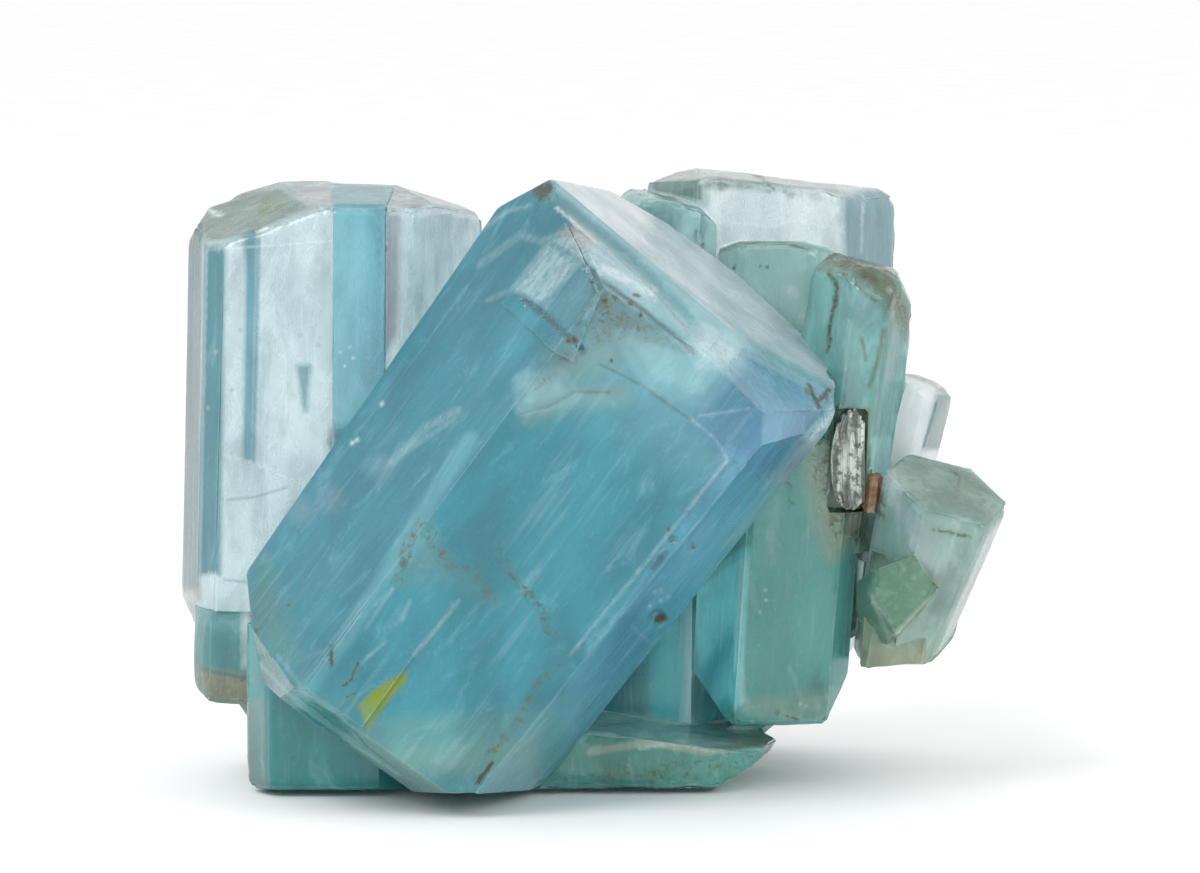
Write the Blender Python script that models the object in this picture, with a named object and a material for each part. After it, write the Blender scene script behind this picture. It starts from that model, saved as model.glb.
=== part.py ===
"""An aquamarine specimen: a cluster of intergrown blue-green beryl prisms, with a flake of mica and a rusty
grain of feldspar caught between them. Metres, +Z up, the front faces -Y, and the base rests on Z = 0.

Each crystal is a convex block that flat faces cut out, as in nature: side faces round its own axis, and end
faces that close it. The crystals grew into each other, so a union joins them into one solid."""

import math
from collections import namedtuple

import bmesh
import bpy
from mathutils import Matrix, Vector

MM = 0.001

# Places are in millimetres on the ground plan that the crystals were laid out on, and the cluster is moved so
# that this point, the middle of its box, comes to the origin.
BOX_MIDDLE = Vector((-0.302, -1.941, 0.0))

# The block that each crystal is cut from, and the gap round a grain that the beryl grew round
BLOCK_SIZE = 160.0
POCKET_GAP = 0.3

# The base is sawn level, and in front of this line its edge rises a little
FRONT_HINGE = -3.5
FRONT_RISE = 7.7

# A crystal's foot and tip are the ends of its axis, in millimetres.
# A side is (azimuth, distance from the axis at the foot, the same at the tip): azimuth 0 is right, 90 the back,
# 180 left and 270 the front. An end face is (tilt from the axis, azimuth, height where it crosses the axis),
# the height counted outwards from that end.
Crystal = namedtuple("Crystal", "name foot tip sides top bottom")

FLAT_END = (0, 0, 0)

# The main prism leans 36 degrees to the right. A plate and a step of later growth stand proud of its front.
MAIN_FOOT = (-24.7, -5.0, 4.7)
MAIN_TIP = (9.9, -11.0, 51.3)
MAIN_FRONT = 17.3
MAIN_LEFT = 16.5
MAIN_SIDES = [
    (270, MAIN_FRONT, MAIN_FRONT),
    (210, MAIN_LEFT, MAIN_LEFT),
    (154, 15.7, 18.7),
    (120, 16.0, 15.4),
    (97, 16.0, 17.0),
    (60, 16.5, 17.8),
    (34, 17.2, 17.7),
    (10, 17.2, 17.5),
    (334, 17.0, 18.9),
]
MAIN_BOTTOM = [
    (11, 270, -0.8),
    (28, 270, 2.8),
    (45, 183, 9.6),
    (45, 210, 10.6),
    (27.6, 0, 2.2),
    (40, 330, 13.0),
    (50, 90, 11.5),
    (50, 150, 13.0),
    (50, 30, 12.0),
]


def along_main(height):
    """The point of the main prism's axis at this height above its foot."""
    foot, tip = Vector(MAIN_FOOT), Vector(MAIN_TIP)
    return tuple(foot + (tip - foot).normalized() * height)


MAIN_LENGTH = (Vector(MAIN_TIP) - Vector(MAIN_FOOT)).length

CRYSTALS = [
    Crystal(
        "main_prism",
        MAIN_FOOT,
        MAIN_TIP,
        MAIN_SIDES,
        [
            (2.5, 300, 0.25),
            (12, 262, 1.49),
            (16, 303, 2.48),
            (64, 172, 38.5),
            (60, 154, 26.5),
            (55, 122, 22.6),
            (22, 0, 6.95),
            (60, 326, 28.4),
        ],
        MAIN_BOTTOM,
    ),
    Crystal(
        "main_plate",
        along_main(49.4),
        along_main(MAIN_LENGTH - 3.2),
        [
            (270, MAIN_FRONT + 0.5, MAIN_FRONT + 0.35),
            (210, MAIN_LEFT + 0.5, MAIN_LEFT + 0.4),
            (120, 0.4, 0.4),
            (90, -6.5, -6.5),
            (0, -7.4, -8.8),
        ],
        [(12.6, 262, 4.2)],
        [(9, 0, 0)],
    ),
    Crystal(
        "main_step",
        along_main(0),
        along_main(27.0),
        [
            (270, MAIN_FRONT + 0.45, MAIN_FRONT - 0.1),
            (210, MAIN_LEFT - 0.1, MAIN_LEFT - 0.1),
            (90, -6, -6),
            (0, -2.0, -2.4),
        ],
        [FLAT_END],
        [(11, 270, -1.1), (28, 270, 2.4), (45, 210, 10.2)],
    ),
    # The left plate of clear beryl stands almost upright, with a column and a wing grown along it.
    Crystal(
        "left_prism",
        (-27.6, 5.0, 13.9),
        (-26.4, 5.0, 59.1),
        [
            (270, 7.0, 7.0),
            (210, 12.2, 12.2),
            (195, 12.7, 12.7),
            (150, 15.0, 15.0),
            (90, 7.5, 7.5),
            (30, 15.6, 15.6),
            (330, 11.2, 11.2),
        ],
        [(7, 270, 0), (24.8, 214.5, 1.1), (62, 180, 21.6), (17.0, 0, 2.8), (45, 100, 8.2), (45, 30, 14.6)],
        [FLAT_END, (27, 270, 0), (48, 180, 12.5), (40, 90, 6.0)],
    ),
    Crystal(
        "left_column",
        (-23.5, 3.2, 8.0),
        (-23.1, 3.2, 59.2),
        [(270, 6.0, 6.0), (183, 2.9, 2.9), (90, 4, 4), (357, 2.9, 2.9)],
        [(8, 270, 0), (30, 90, 3.4)],
        [FLAT_END],
    ),
    Crystal(
        "left_heel",
        (-36.6, 3.0, 8.0),
        (-36.2, 3.0, 17.6),
        [(270, 4.4, 4.4), (205, 3.8, 3.8), (165, 3.6, 3.6), (90, 5, 5), (15, 4.0, 4.0), (330, 5.2, 5.2)],
        [FLAT_END],
        [FLAT_END, (36, 180, 1.4), (60, 190, 5.4), (35, 270, 2.4), (38, 90, 2.6)],
    ),
    Crystal(
        "left_root",
        (-27.5, 5.0, 4.5),
        (-27.0, 5.0, 26.0),
        [(270, 4.5, 5.5), (210, 8.0, 9.0), (150, 8.0, 9.0), (90, 8, 7), (30, 9, 9), (330, 9, 9)],
        [FLAT_END],
        [FLAT_END, (45, 180, 5.5), (45, 90, 5.5)],
    ),
    # The small prism at the lower left
    Crystal(
        "corner_prism",
        (-27.8, -3.0, -3.0),
        (-27.8, -3.0, 17.0),
        [
            (270, 6.0, 6.0),
            (210, 6.8, 6.8),
            (150, 5.0, 5.0),
            (90, 5.5, 5.5),
            (30, 8.8, 8.8),
            (330, 8.8, 8.8),
        ],
        [FLAT_END],
        [FLAT_END],
    ),
    # The tall clear prism behind, at the upper right
    Crystal(
        "back_prism",
        (16.7, 18.0, -3.0),
        (18.9, 18.0, 59.4),
        [
            (270, 7.5, 7.5),
            (210, 11.0, 11.0),
            (150, 12.2, 12.2),
            (90, 7.0, 7.0),
            (30, 12.8, 12.8),
            (330, 9.5, 9.5),
        ],
        [(4.5, 0, 0.4), (58, 185, 21.8), (34, 165, 10.2), (14, 190, 2.9), (56, 20, 20.4), (35, 90, 7.4)],
        [(42, 0, -5.8)],
    ),
    # Shorter prisms step down from it to the right
    Crystal(
        "shaded_prism",
        (18.6, 13.0, 20.0),
        (18.6, 13.0, 53.9),
        [(270, 5.5, 5.5), (210, 6.3, 6.3), (150, 6.4, 6.4), (90, 6, 6), (30, 6.4, 6.4), (330, 6.4, 6.4)],
        [FLAT_END, (20, 200, 1.6), (16, 330, 1.0), (48, 185, 6.0), (40, 0, 4.8)],
        [FLAT_END],
    ),
    Crystal(
        "upper_knob",
        (6.3, 13.0, 26.0),
        (8.0, 13.0, 58.2),
        [(270, 5.4, 5.4), (210, 6.0, 6.0), (150, 5.6, 5.6), (90, 6, 6), (30, 5.0, 5.0), (330, 5.4, 5.4)],
        [(11, 0, 0), (42, 0, 1.9), (62, 0, 8.2), (30, 200, 2.6)],
        [FLAT_END],
    ),
    Crystal(
        "stained_prism",
        (24.2, 2.2, 26.0),
        (27.6, 0.5, 52.6),
        [(276, 6.6, 6.6), (216, 5.2, 5.2), (150, 5.2, 5.2), (90, 5.5, 5.5), (30, 5.0, 5.0), (336, 4.7, 4.7)],
        [(10, 20, 0), (34, 10, 1.6), (30, 200, 1.8), (38, 300, 2.6), (58, 0, 4.4)],
        [FLAT_END],
    ),
    Crystal(
        "stained_step",
        (25.6, 2.0, 24.0),
        (28.4, 0.6, 45.4),
        [(272, 4.6, 4.6), (212, 3.2, 3.2), (150, 3.0, 3.0), (90, 4, 4), (30, 3.0, 3.0), (330, 3.1, 3.1)],
        [(30, 330, 0), (12, 90, 0.3), (50, 0, 2.4)],
        [FLAT_END],
    ),
    Crystal(
        "small_clear_prism",
        (29.2, 4.6, 22.0),
        (33.7, 4.0, 40.2),
        [(262, 4.0, 4.0), (202, 3.6, 3.6), (142, 3.2, 3.2), (82, 3.4, 3.4), (22, 2.9, 2.9), (322, 2.3, 2.3)],
        [(8, 320, 0), (50, 20, 2.3), (45, 180, 3.4)],
        [FLAT_END],
    ),
    # The tilted prism at the right shows its six-sided end face
    Crystal(
        "tilted_prism",
        (29.6, -1.5, 16.0),
        (35.2, -8.0, 30.9),
        [
            (275, 5.3, 5.5),
            (215, 2.8, 5.9),
            (155, 3.4, 6.2),
            (95, 6.2, 6.3),
            (35, 6.2, 6.4),
            (335, 5.9, 5.9),
            (5, 6.4, 6.5),
        ],
        [FLAT_END, (40, 215, 5.6), (45, 65, 7.0)],
        [FLAT_END, (40, 330, 4.2), (45, 0, 5.4)],
    ),
    Crystal(
        "bud_prism",
        (29.7, -3.0, 18.3),
        (30.9, -12.4, 20.7),
        [(110, 3.7, 3.7), (39, 3.1, 3.1), (350, 3.2, 3.2), (318, 2.2, 2.2), (213, 3.3, 3.3), (180, 3.5, 3.5)],
        [FLAT_END],
        [FLAT_END],
    ),
    Crystal(
        "right_root",
        (29.0, -1.0, 11.2),
        (31.0, -1.5, 24.0),
        [
            (270, 5.4, 6.4),
            (225, 5.4, 5.8),
            (180, 2.9, 3.3),
            (150, 5.6, 5.6),
            (90, 6.6, 6.0),
            (30, 6.2, 5.4),
            (330, 5.6, 6.0),
        ],
        [FLAT_END],
        [(13, 340, -1.2), (45, 350, 2.4), (60, 350, 6.4), (35, 260, 2.6), (40, 90, 3.6)],
    ),
    # The green prisms below the main one's right edge
    Crystal(
        "green_prism",
        (19.6, 2.4, 5.3),
        (21.6, 2.4, 35.6),
        [
            (270, 7.2, 7.2),
            (210, 8.6, 8.6),
            (150, 11.0, 11.0),
            (90, 13.0, 13.0),
            (30, 8.0, 8.6),
            (330, 6.8, 7.2),
            (0, 5.6, 5.6),
        ],
        [FLAT_END, (35, 0, 4.0)],
        [(10, 300, -0.2), (68, 0, 7.4), (40, 0, 1.3), (50, 180, 6.8), (38, 270, 4.8)],
    ),
    Crystal(
        "inner_prism",
        (5.7, 10.0, -3.0),
        (6.1, 10.0, 30.0),
        [(262, 7.4, 7.4), (202, 8.6, 8.6), (150, 8, 8), (90, 7, 7), (30, 8.6, 8.6), (322, 8.2, 8.2)],
        [FLAT_END],
        [FLAT_END],
    ),
    Crystal(
        "broken_root",
        (3.0, 0.0, -4.0),
        (4.6, 0.0, 6.3),
        [
            (270, 8.2, 7.2),
            (240, 12.4, 10.4),
            (180, 15.5, 13.0),
            (120, 13.0, 12.0),
            (80, 11.0, 10.0),
            (30, 13.0, 13.6),
            (300, 10.8, 10.6),
            (345, 12.0, 13.4),
        ],
        [(4, 250, 0), (32, 270, 4.0)],
        [(44, 350, 3.6), (40, 60, 6.0)],
    ),
    # The back of the cluster, behind the main prism
    Crystal(
        "rear_prism",
        (-4.2, 15.0, -3.0),
        (-3.2, 15.0, 45.0),
        [(272, 8, 8), (212, 8.0, 8.0), (152, 8.2, 8.2), (92, 7.5, 7.5), (32, 8.6, 8.6), (332, 8.2, 8.2)],
        [FLAT_END, (32, 40, 5.4), (48, 150, 9.8)],
        [FLAT_END],
    ),
    Crystal(
        "rear_left_prism",
        (-17.0, 13.0, -3.0),
        (-19.6, 14.0, 35.6),
        [(264, 6, 6), (204, 6.6, 6.6), (144, 7.0, 7.0), (84, 6.5, 6.5), (24, 6.4, 6.4), (324, 6.4, 6.4)],
        [FLAT_END, (30, 120, 4.0), (46, 220, 6.8)],
        [FLAT_END],
    ),
    Crystal(
        "rear_right_prism",
        (12.0, 17.0, 4.5),
        (9.8, 19.6, 31.0),
        [(270, 5, 5), (210, 4.6, 4.6), (150, 4.8, 4.8), (90, 4.2, 4.2), (30, 4.8, 4.8), (330, 4.6, 4.6)],
        [FLAT_END, (42, 80, 4.6)],
        [FLAT_END, (45, 90, 4.6)],
    ),
    Crystal(
        "rear_low_prism",
        (25.0, 13.0, 13.0),
        (29.0, 15.2, 30.6),
        [(270, 5, 5), (210, 5.0, 5.0), (150, 4.8, 4.8), (90, 4.0, 4.0), (30, 4.6, 4.6), (330, 4.4, 4.4)],
        [FLAT_END, (36, 20, 3.4)],
        [(20, 10, 0), (45, 60, 4.0)],
    ),
]

MICA_FLAKE = Crystal(
    "mica_flake",
    (25.2, -4.3, 28.4),
    (25.6, -5.3, 38.0),
    [(270, 1.3, 1.2), (200, 1.5, 1.35), (180, 1.45, 1.2), (90, 1.0, 1.0), (20, 1.5, 1.4), (340, 1.55, 1.4)],
    [FLAT_END, (38, 0, 1.0), (45, 200, 1.4)],
    [FLAT_END, (42, 180, 1.3), (38, 350, 1.2)],
)

FELDSPAR_GRAIN = Crystal(
    "feldspar_grain",
    (27.6, -4.4, 28.4),
    (28.1, -4.9, 31.8),
    [(270, 1.3, 1.0), (200, 0.8, 0.8), (150, 0.9, 0.8), (90, 1.2, 1.2), (30, 1.0, 0.7), (330, 1.0, 0.8)],
    [(20, 180, 0), (45, 0, 0.7)],
    [(12, 60, 0), (40, 200, 0.9)],
)


def clear_scene():
    for obj in list(bpy.data.objects):
        bpy.data.objects.remove(obj)


def axis_frame(foot, tip):
    """The crystal's own frame: z along its axis, x to the right and y to the back."""
    z = (Vector(tip) - Vector(foot)).normalized()
    y = z.cross(Vector((1, 0, 0))).normalized()
    x = y.cross(z)
    frame = Matrix((x, y, z)).transposed().to_4x4()
    frame.translation = Vector(foot)
    return frame


def ring_direction(azimuth):
    turn = math.radians(azimuth)
    return Vector((math.cos(turn), math.sin(turn), 0))


def side_plane(side, length, grow):
    """(point, outward normal) of a side face, in the crystal's own frame."""
    azimuth, at_foot, at_tip = side
    out = ring_direction(azimuth)
    slope = (at_tip - at_foot) / length
    normal = (out - Vector((0, 0, slope))).normalized()
    return out * at_foot + normal * grow, normal


def end_plane(end, start, outward, grow):
    """(point, outward normal) of a face that closes the end at height start."""
    tilt, azimuth, beyond = end
    lean = math.radians(tilt)
    normal = ring_direction(azimuth) * math.sin(lean) + Vector((0, 0, outward)) * math.cos(lean)
    return Vector((0, 0, start + outward * beyond)) + normal * grow, normal


def faces_of(crystal, grow):
    length = (Vector(crystal.tip) - Vector(crystal.foot)).length
    planes = [side_plane(side, length, grow) for side in crystal.sides]
    planes += [end_plane(end, length, 1, grow) for end in crystal.top]
    planes += [end_plane(end, 0, -1, grow) for end in crystal.bottom]
    return planes


def cut_flat(bm, point, normal):
    """Takes off what lies outside a plane and closes the cut with one flat face."""
    everything = bm.verts[:] + bm.edges[:] + bm.faces[:]
    cut = bmesh.ops.bisect_plane(
        bm, geom=everything, dist=1e-5, plane_co=point, plane_no=normal, clear_outer=True
    )
    rim = [item for item in cut["geom_cut"] if isinstance(item, bmesh.types.BMEdge)]
    if rim:
        bmesh.ops.holes_fill(bm, edges=rim, sides=0)


def crystal_object(crystal, grow=0.0):
    """The crystal as a closed convex mesh object, its faces pushed out by grow millimetres."""
    bm = bmesh.new()
    bmesh.ops.create_cube(bm, size=BLOCK_SIZE)
    for point, normal in faces_of(crystal, grow):
        cut_flat(bm, point, normal)
    bmesh.ops.recalc_face_normals(bm, faces=bm.faces)
    place = Matrix.Scale(MM, 4) @ Matrix.Translation(-BOX_MIDDLE) @ axis_frame(crystal.foot, crystal.tip)
    bm.transform(place)
    mesh = bpy.data.meshes.new(crystal.name)
    bm.to_mesh(mesh)
    bm.free()
    obj = bpy.data.objects.new(crystal.name, mesh)
    bpy.context.scene.collection.objects.link(obj)
    return obj


def as_helper(obj, name):
    obj.name = name
    obj.hide_render = True
    obj.display_type = "WIRE"
    return obj


def combine(obj, operation, helpers, name):
    """Joins the helpers to obj, or cuts them out of it, with one exact Boolean."""
    group = bpy.data.collections.new(name)
    for helper in helpers:
        group.objects.link(helper)
    modifier = obj.modifiers.new(name, "BOOLEAN")
    modifier.operation = operation
    modifier.solver = "EXACT"
    modifier.operand_type = "COLLECTION"
    modifier.collection = group


def block_below(name, tilt, hinge_y):
    """A block whose top is a plane through Z = 0 at hinge_y, rising to the front by tilt degrees."""
    bm = bmesh.new()
    bmesh.ops.create_cube(bm, size=BLOCK_SIZE * MM)
    bmesh.ops.translate(bm, verts=bm.verts, vec=(0, 0, -BLOCK_SIZE * MM / 2))
    turn = Matrix.Rotation(math.radians(-tilt), 4, "X")
    bm.transform(Matrix.Translation((0, (hinge_y - BOX_MIDDLE.y) * MM, 0)) @ turn)
    mesh = bpy.data.meshes.new(name)
    bm.to_mesh(mesh)
    bm.free()
    obj = bpy.data.objects.new(name, mesh)
    bpy.context.scene.collection.objects.link(obj)
    return as_helper(obj, name)


def material(name, colour, roughness, transmission=0.0, ior=1.5):
    made = bpy.data.materials.new(name)
    made.use_nodes = True
    shader = made.node_tree.nodes["Principled BSDF"]
    shader.inputs["Base Color"].default_value = (*colour, 1.0)
    shader.inputs["Roughness"].default_value = roughness
    shader.inputs["Metallic"].default_value = 0.0
    shader.inputs["Transmission Weight"].default_value = transmission
    shader.inputs["IOR"].default_value = ior
    return made


def aquamarine_cluster(neighbours):
    """All the beryl in one solid, sawn flat below, with a close pocket for each grain caught in it."""
    cluster = crystal_object(CRYSTALS[0])
    cluster.name = "aquamarine_cluster"
    others = [as_helper(crystal_object(c), "grown_" + c.name) for c in CRYSTALS[1:]]
    combine(cluster, "UNION", others, "intergrowth")
    sawn = [block_below("sawn_base", 0, 0), block_below("broken_front_edge", FRONT_RISE, FRONT_HINGE)]
    combine(cluster, "DIFFERENCE", sawn, "underside")
    pockets = [as_helper(crystal_object(c, POCKET_GAP), "pocket_" + c.name) for c in neighbours]
    combine(cluster, "DIFFERENCE", pockets, "pockets")
    cluster.data.materials.append(material("aquamarine", (0.33, 0.62, 0.68), 0.12, 0.8, 1.58))
    return cluster


def main():
    clear_scene()
    aquamarine_cluster([MICA_FLAKE, FELDSPAR_GRAIN])
    mica = crystal_object(MICA_FLAKE)
    mica.data.materials.append(material("mica", (0.62, 0.64, 0.6), 0.35))
    feldspar = crystal_object(FELDSPAR_GRAIN)
    feldspar.data.materials.append(material("feldspar", (0.45, 0.27, 0.14), 0.6))


main()
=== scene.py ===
# %% [markdown]
# # An aquamarine cluster
# Aquamarine is blue-green beryl. It grows as six-sided prisms, and here about twenty of them grew into
# each other: a big cloudy one that leans to the right, a clear upright one at the left, and smaller ones
# round them. The imported model has their exact faces. This lesson gives those faces what a real crystal
# has: worn edges, growth steps and etched lines, a colour that changes from face to face, and iron stains
# in the seams. Part of the colour from face to face is painted light and shade, with painted shadows,
# glints and reflections.

# %% Load the imported model
import math

import bmesh
import bpy
import numpy as np
from mathutils.kdtree import KDTree
from mathutils import Matrix, Vector, noise
from mathutils.geometry import delaunay_2d_cdt


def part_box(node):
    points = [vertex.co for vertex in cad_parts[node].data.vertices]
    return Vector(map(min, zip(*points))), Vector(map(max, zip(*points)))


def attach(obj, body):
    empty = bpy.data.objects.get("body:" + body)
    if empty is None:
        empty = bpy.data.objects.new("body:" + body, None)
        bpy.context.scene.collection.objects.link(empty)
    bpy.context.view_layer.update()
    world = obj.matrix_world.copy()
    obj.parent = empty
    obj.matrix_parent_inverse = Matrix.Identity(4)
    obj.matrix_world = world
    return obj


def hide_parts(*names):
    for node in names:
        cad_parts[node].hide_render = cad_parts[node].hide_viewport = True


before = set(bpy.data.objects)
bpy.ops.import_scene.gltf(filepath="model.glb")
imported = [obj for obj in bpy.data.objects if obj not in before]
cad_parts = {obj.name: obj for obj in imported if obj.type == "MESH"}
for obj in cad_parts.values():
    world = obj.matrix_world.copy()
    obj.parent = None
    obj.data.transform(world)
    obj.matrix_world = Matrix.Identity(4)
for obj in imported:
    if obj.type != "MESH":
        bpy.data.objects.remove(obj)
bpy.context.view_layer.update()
MM = 0.001
print("nodes:", sorted(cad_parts))

# %% [markdown]
# ## Who is who
# The cluster came as one solid, because the crystals grew together. To paint each crystal in its own
# colour, and to etch its faces along its own length, the lesson has to know which faces belong to which
# crystal. A crystal is told by its axis, from foot to tip in millimetres on the plan that the model was
# laid out on, and by its half width and half depth.

# %% The crystals
PLAN_MIDDLE = np.array((-0.302, -1.941, 0.0))
WITHIN = 1.35
SIDE_FACE = 0.97
CRYSTALS = {
    # name: (foot, tip, half width, half depth)
    "main": ((-24.7, -5, 4.7), (9.9, -11, 51.3), 17.4, 17.0),
    "left": ((-27.6, 5, 13.9), (-26.4, 5, 59.1), 13.5, 7.2),
    "column": ((-23.5, 3.2, 8), (-23.1, 3.2, 59.2), 2.9, 6.0),
    "heel": ((-36.6, 3, 8), (-36.2, 3, 17.6), 4.0, 4.6),
    "left_root": ((-27.5, 5, 4.5), (-27, 5, 26), 9.0, 7.0),
    "corner": ((-27.8, -3, -3), (-27.8, -3, 17), 7.5, 5.9),
    "back": ((16.7, 18, -3), (18.9, 18, 59.4), 12.4, 7.4),
    "shaded": ((18.6, 13, 20), (18.6, 13, 53.9), 6.4, 5.6),
    "knob": ((6.3, 13, 26), (8, 13, 58.2), 5.6, 5.5),
    "stained": ((24.2, 2.2, 26), (27.6, 0.5, 52.6), 5.1, 6.2),
    "stained_step": ((25.6, 2, 24), (28.4, 0.6, 45.4), 3.1, 4.5),
    "small_clear": ((29.2, 4.6, 22), (33.7, 4, 40.2), 3.1, 3.8),
    "tilted": ((29.6, -1.5, 16), (35.2, -8, 30.9), 6.2, 5.8),
    "bud": ((29.7, -3, 18.3), (30.9, -12.4, 20.7), 3.2, 3.5),
    "right_root": ((29, -1, 11.2), (31, -1.5, 24), 5.6, 6.0),
    "green": ((19.6, 2.4, 5.3), (21.6, 2.4, 35.6), 8.0, 8.0),
    "inner": ((5.7, 10, -3), (6.1, 10, 30), 8.4, 7.3),
    "broken": ((3, 0, -4), (4.6, 0, 7.4), 13.5, 9.0),
    "rear": ((-4.2, 15, -3), (-3.2, 15, 45), 8.2, 7.8),
    "rear_left": ((-17, 13, -3), (-19.6, 14, 35.6), 6.6, 6.3),
    "rear_right": ((12, 17, 4.5), (9.8, 19.6, 31), 4.7, 4.6),
    "rear_low": ((25, 13, 13), (29, 15.2, 30.6), 4.7, 4.5),
}
NAMES = list(CRYSTALS)


def axes_of(name):
    """The crystal's own frame: rows are its right, its back and its length; and its foot and its height."""
    foot, tip = (np.array(p) - PLAN_MIDDLE for p in CRYSTALS[name][:2])
    height = np.linalg.norm(tip - foot)
    along = (tip - foot) / height
    back = np.cross(along, (1.0, 0.0, 0.0))
    back /= np.linalg.norm(back)
    return np.array([np.cross(back, along), back, along]), foot, height


def owner_of(centre, normal):
    """The crystal whose surface is nearest to this face, by its place and the way it looks."""
    best, who = 1e9, 0
    for number, name in enumerate(NAMES):
        axes, foot, height = axes_of(name)
        wide, deep = CRYSTALS[name][2:]
        place, facing = axes @ (centre - foot), axes @ normal
        flat = np.hypot(facing[0], facing[1])
        reach = np.hypot(place[0] / wide, place[1] / deep)
        if reach > WITHIN or not -1.5 < place[2] < height + 4.0:
            continue
        if flat > SIDE_FACE:
            side = (facing[:2] / flat) @ place[:2]
            expected = math.hypot(wide * facing[0], deep * facing[1]) / flat
            miss = abs(side - expected) + 60.0 * (1.0 - flat)
        else:
            miss = 0.6 + 0.25 * min(abs(place[2]), abs(place[2] - height)) + 2.0 * max(0.0, reach - 1.0)
        if miss < best:
            best, who = miss, number
    return who


# Faces that the rule gives to a neighbour, by a point on each
SETTLED = [
    ((-32.3, 2.3, 7.8), "heel"),
    ((-18.8, -3.6, 1.3), "corner"),
    ((-18.9, 1.7, 1.2), "corner"),
    ((-10.9, 1.8, 1.2), "broken"),
    ((6.3, 18.6, 32.7), "back"),
    ((6.3, 23.8, 29.6), "back"),
    ((27.2, 16.6, 29.9), "back"),
    ((11.6, 8.9, 33.3), "green"),
    ((30.3, 6.4, 40.7), "stained"),
    ((29.2, -0.3, 35.7), "stained"),
    ((29.7, -6.5, 25.4), "tilted"),
    ((26.9, -0.6, 18.1), "tilted"),
    ((30.3, -7.1, 24.0), "tilted"),
    ((35.1, 3.9, 16.1), "right_root"),
    ((-22.8, 4.2, 59.1), "column"),
]
print("crystals:", len(NAMES))

# %% [markdown]
# ## The eye and the front view
# The camera's place comes early in this lesson, because the marks below are laid out on what it sees. It
# stands a little above the table with a long lens, as for a catalogue picture. Two helpers turn places on
# the crystals into places on that front view, and back again onto a flat face.

# %% Where the eye stands
EYE = (0.001052, -0.594772, 0.097817)
EYE_TILT = 84.0
LENS = 180.0
SENSOR = 36.0
SHEET = np.array((1200.0, 873.0))
eye = np.array(EYE) / MM
lean = math.radians(90.0 - EYE_TILT)
AHEAD = np.array((0.0, math.cos(lean), -math.sin(lean)))
ABOVE = np.array((0.0, math.sin(lean), math.cos(lean)))
ASIDE = np.array((1.0, 0.0, 0.0))
ZOOM = SHEET[0] * LENS / SENSOR


def on_sheet(places):
    """Where places in millimetres fall on the front view, in tenths of a millimetre from its top left."""
    ray = places - eye
    scale = ZOOM / (ray @ AHEAD)
    return np.stack([SHEET[0] / 2 + ray[:, 0] * scale, SHEET[1] / 2 - (ray @ ABOVE) * scale], axis=1)


def on_plane(sheet_places, point, normal):
    """The places of a flat face that are seen at these places of the front view."""
    flat = (sheet_places - SHEET / 2) / ZOOM
    rays = AHEAD + flat[:, :1] * ASIDE - flat[:, 1:] * ABOVE
    reach = ((point - eye) @ normal) / (rays @ normal)
    return eye + rays * reach[:, None]


MARKS = []


def mark(names, layers, form, soft, *places):
    """Notes marks of one shape, a line, an area or dots, on these crystals. A layer is a tint, stain, frost
    or clearness with how strong it is, or a press with its depth in millimetres. Some tints are painted
    shadow and shade, and some frost is painted highlight."""
    for what, amount in layers.items():
        MARKS.append((names.split(), what, amount, form, soft, [tuple(map(float, p)) for p in places]))


print("eye at", EYE)

# %% [markdown]
# ## Marks laid out on the front view
# Steps, stains, veins and bands are placed one by one, as a restorer would mark them on a drawing, and so
# are painted shadows, painted shade and painted glints. The drawing is the front view from the camera's
# eye, in tenths of a millimetre from its top left corner. A mark only reaches faces of its own crystal
# that look towards the eye, so nothing is printed through to the back.

# %% Marks on the big prism
M = "main"
# the end face's rim, the groove under it and the ledge of later growth
mark(M, {(100, 158, 164): 0.9}, "line", 9, (548, 192), (600, 234), (650, 277), (690, 320))
mark(M, {(116, 150, 152): 0.5, "clear": 0.1}, "line", 3, (552, 187), (600, 221), (650, 261), (700, 300),
     (760, 345), (830, 384))
mark(M, {"frost_and_highlight": 0.8}, "line", 3, (557, 208), (600, 245))
# the ledge: frosted and striated, and painted paler as painted light where it faces up
mark(M, {"frost_and_highlight": 0.5}, "area", 6, (545, 240), (580, 228), (655, 292), (650, 304), (600, 276))
mark(M, {"frost_and_highlight": 0.85}, "area", 4, (600, 258), (656, 290), (655, 301), (600, 273))
mark(M, {(150, 142, 132): 0.8}, "area", 5, (560, 232), (575, 222), (597, 240), (585, 252))
mark(M, {"frost_and_highlight": 0.6}, "area", 8, (690, 345), (705, 328), (745, 350), (735, 364), (700, 366))
# painted shade: darker blue on the lower ground right of the tip
mark(M, {(76, 140, 170): 0.75}, "area", 8, (747, 352), (830, 392), (806, 436), (760, 480), (690, 430),
     (702, 400))
mark(M, {(100, 106, 92): 0.5}, "area", 9, (592, 278), (640, 312), (692, 352), (640, 345), (596, 340))
mark(M, {(122, 156, 152): 0.7}, "area", 14, (560, 345), (600, 335), (640, 348), (600, 372), (545, 398),
     (528, 398), (545, 360))
mark(M, {"stain": 0.34}, "area", 9, (588, 275), (640, 306), (690, 350), (640, 345), (590, 345),
     (540, 395), (530, 385), (570, 340))
mark(M, {"stain": 1.0}, "dots", 5, (592, 282), (603, 300), (612, 297), (630, 303), (642, 315), (636, 294),
     (566, 340), (612, 362), (573, 340))
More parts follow.
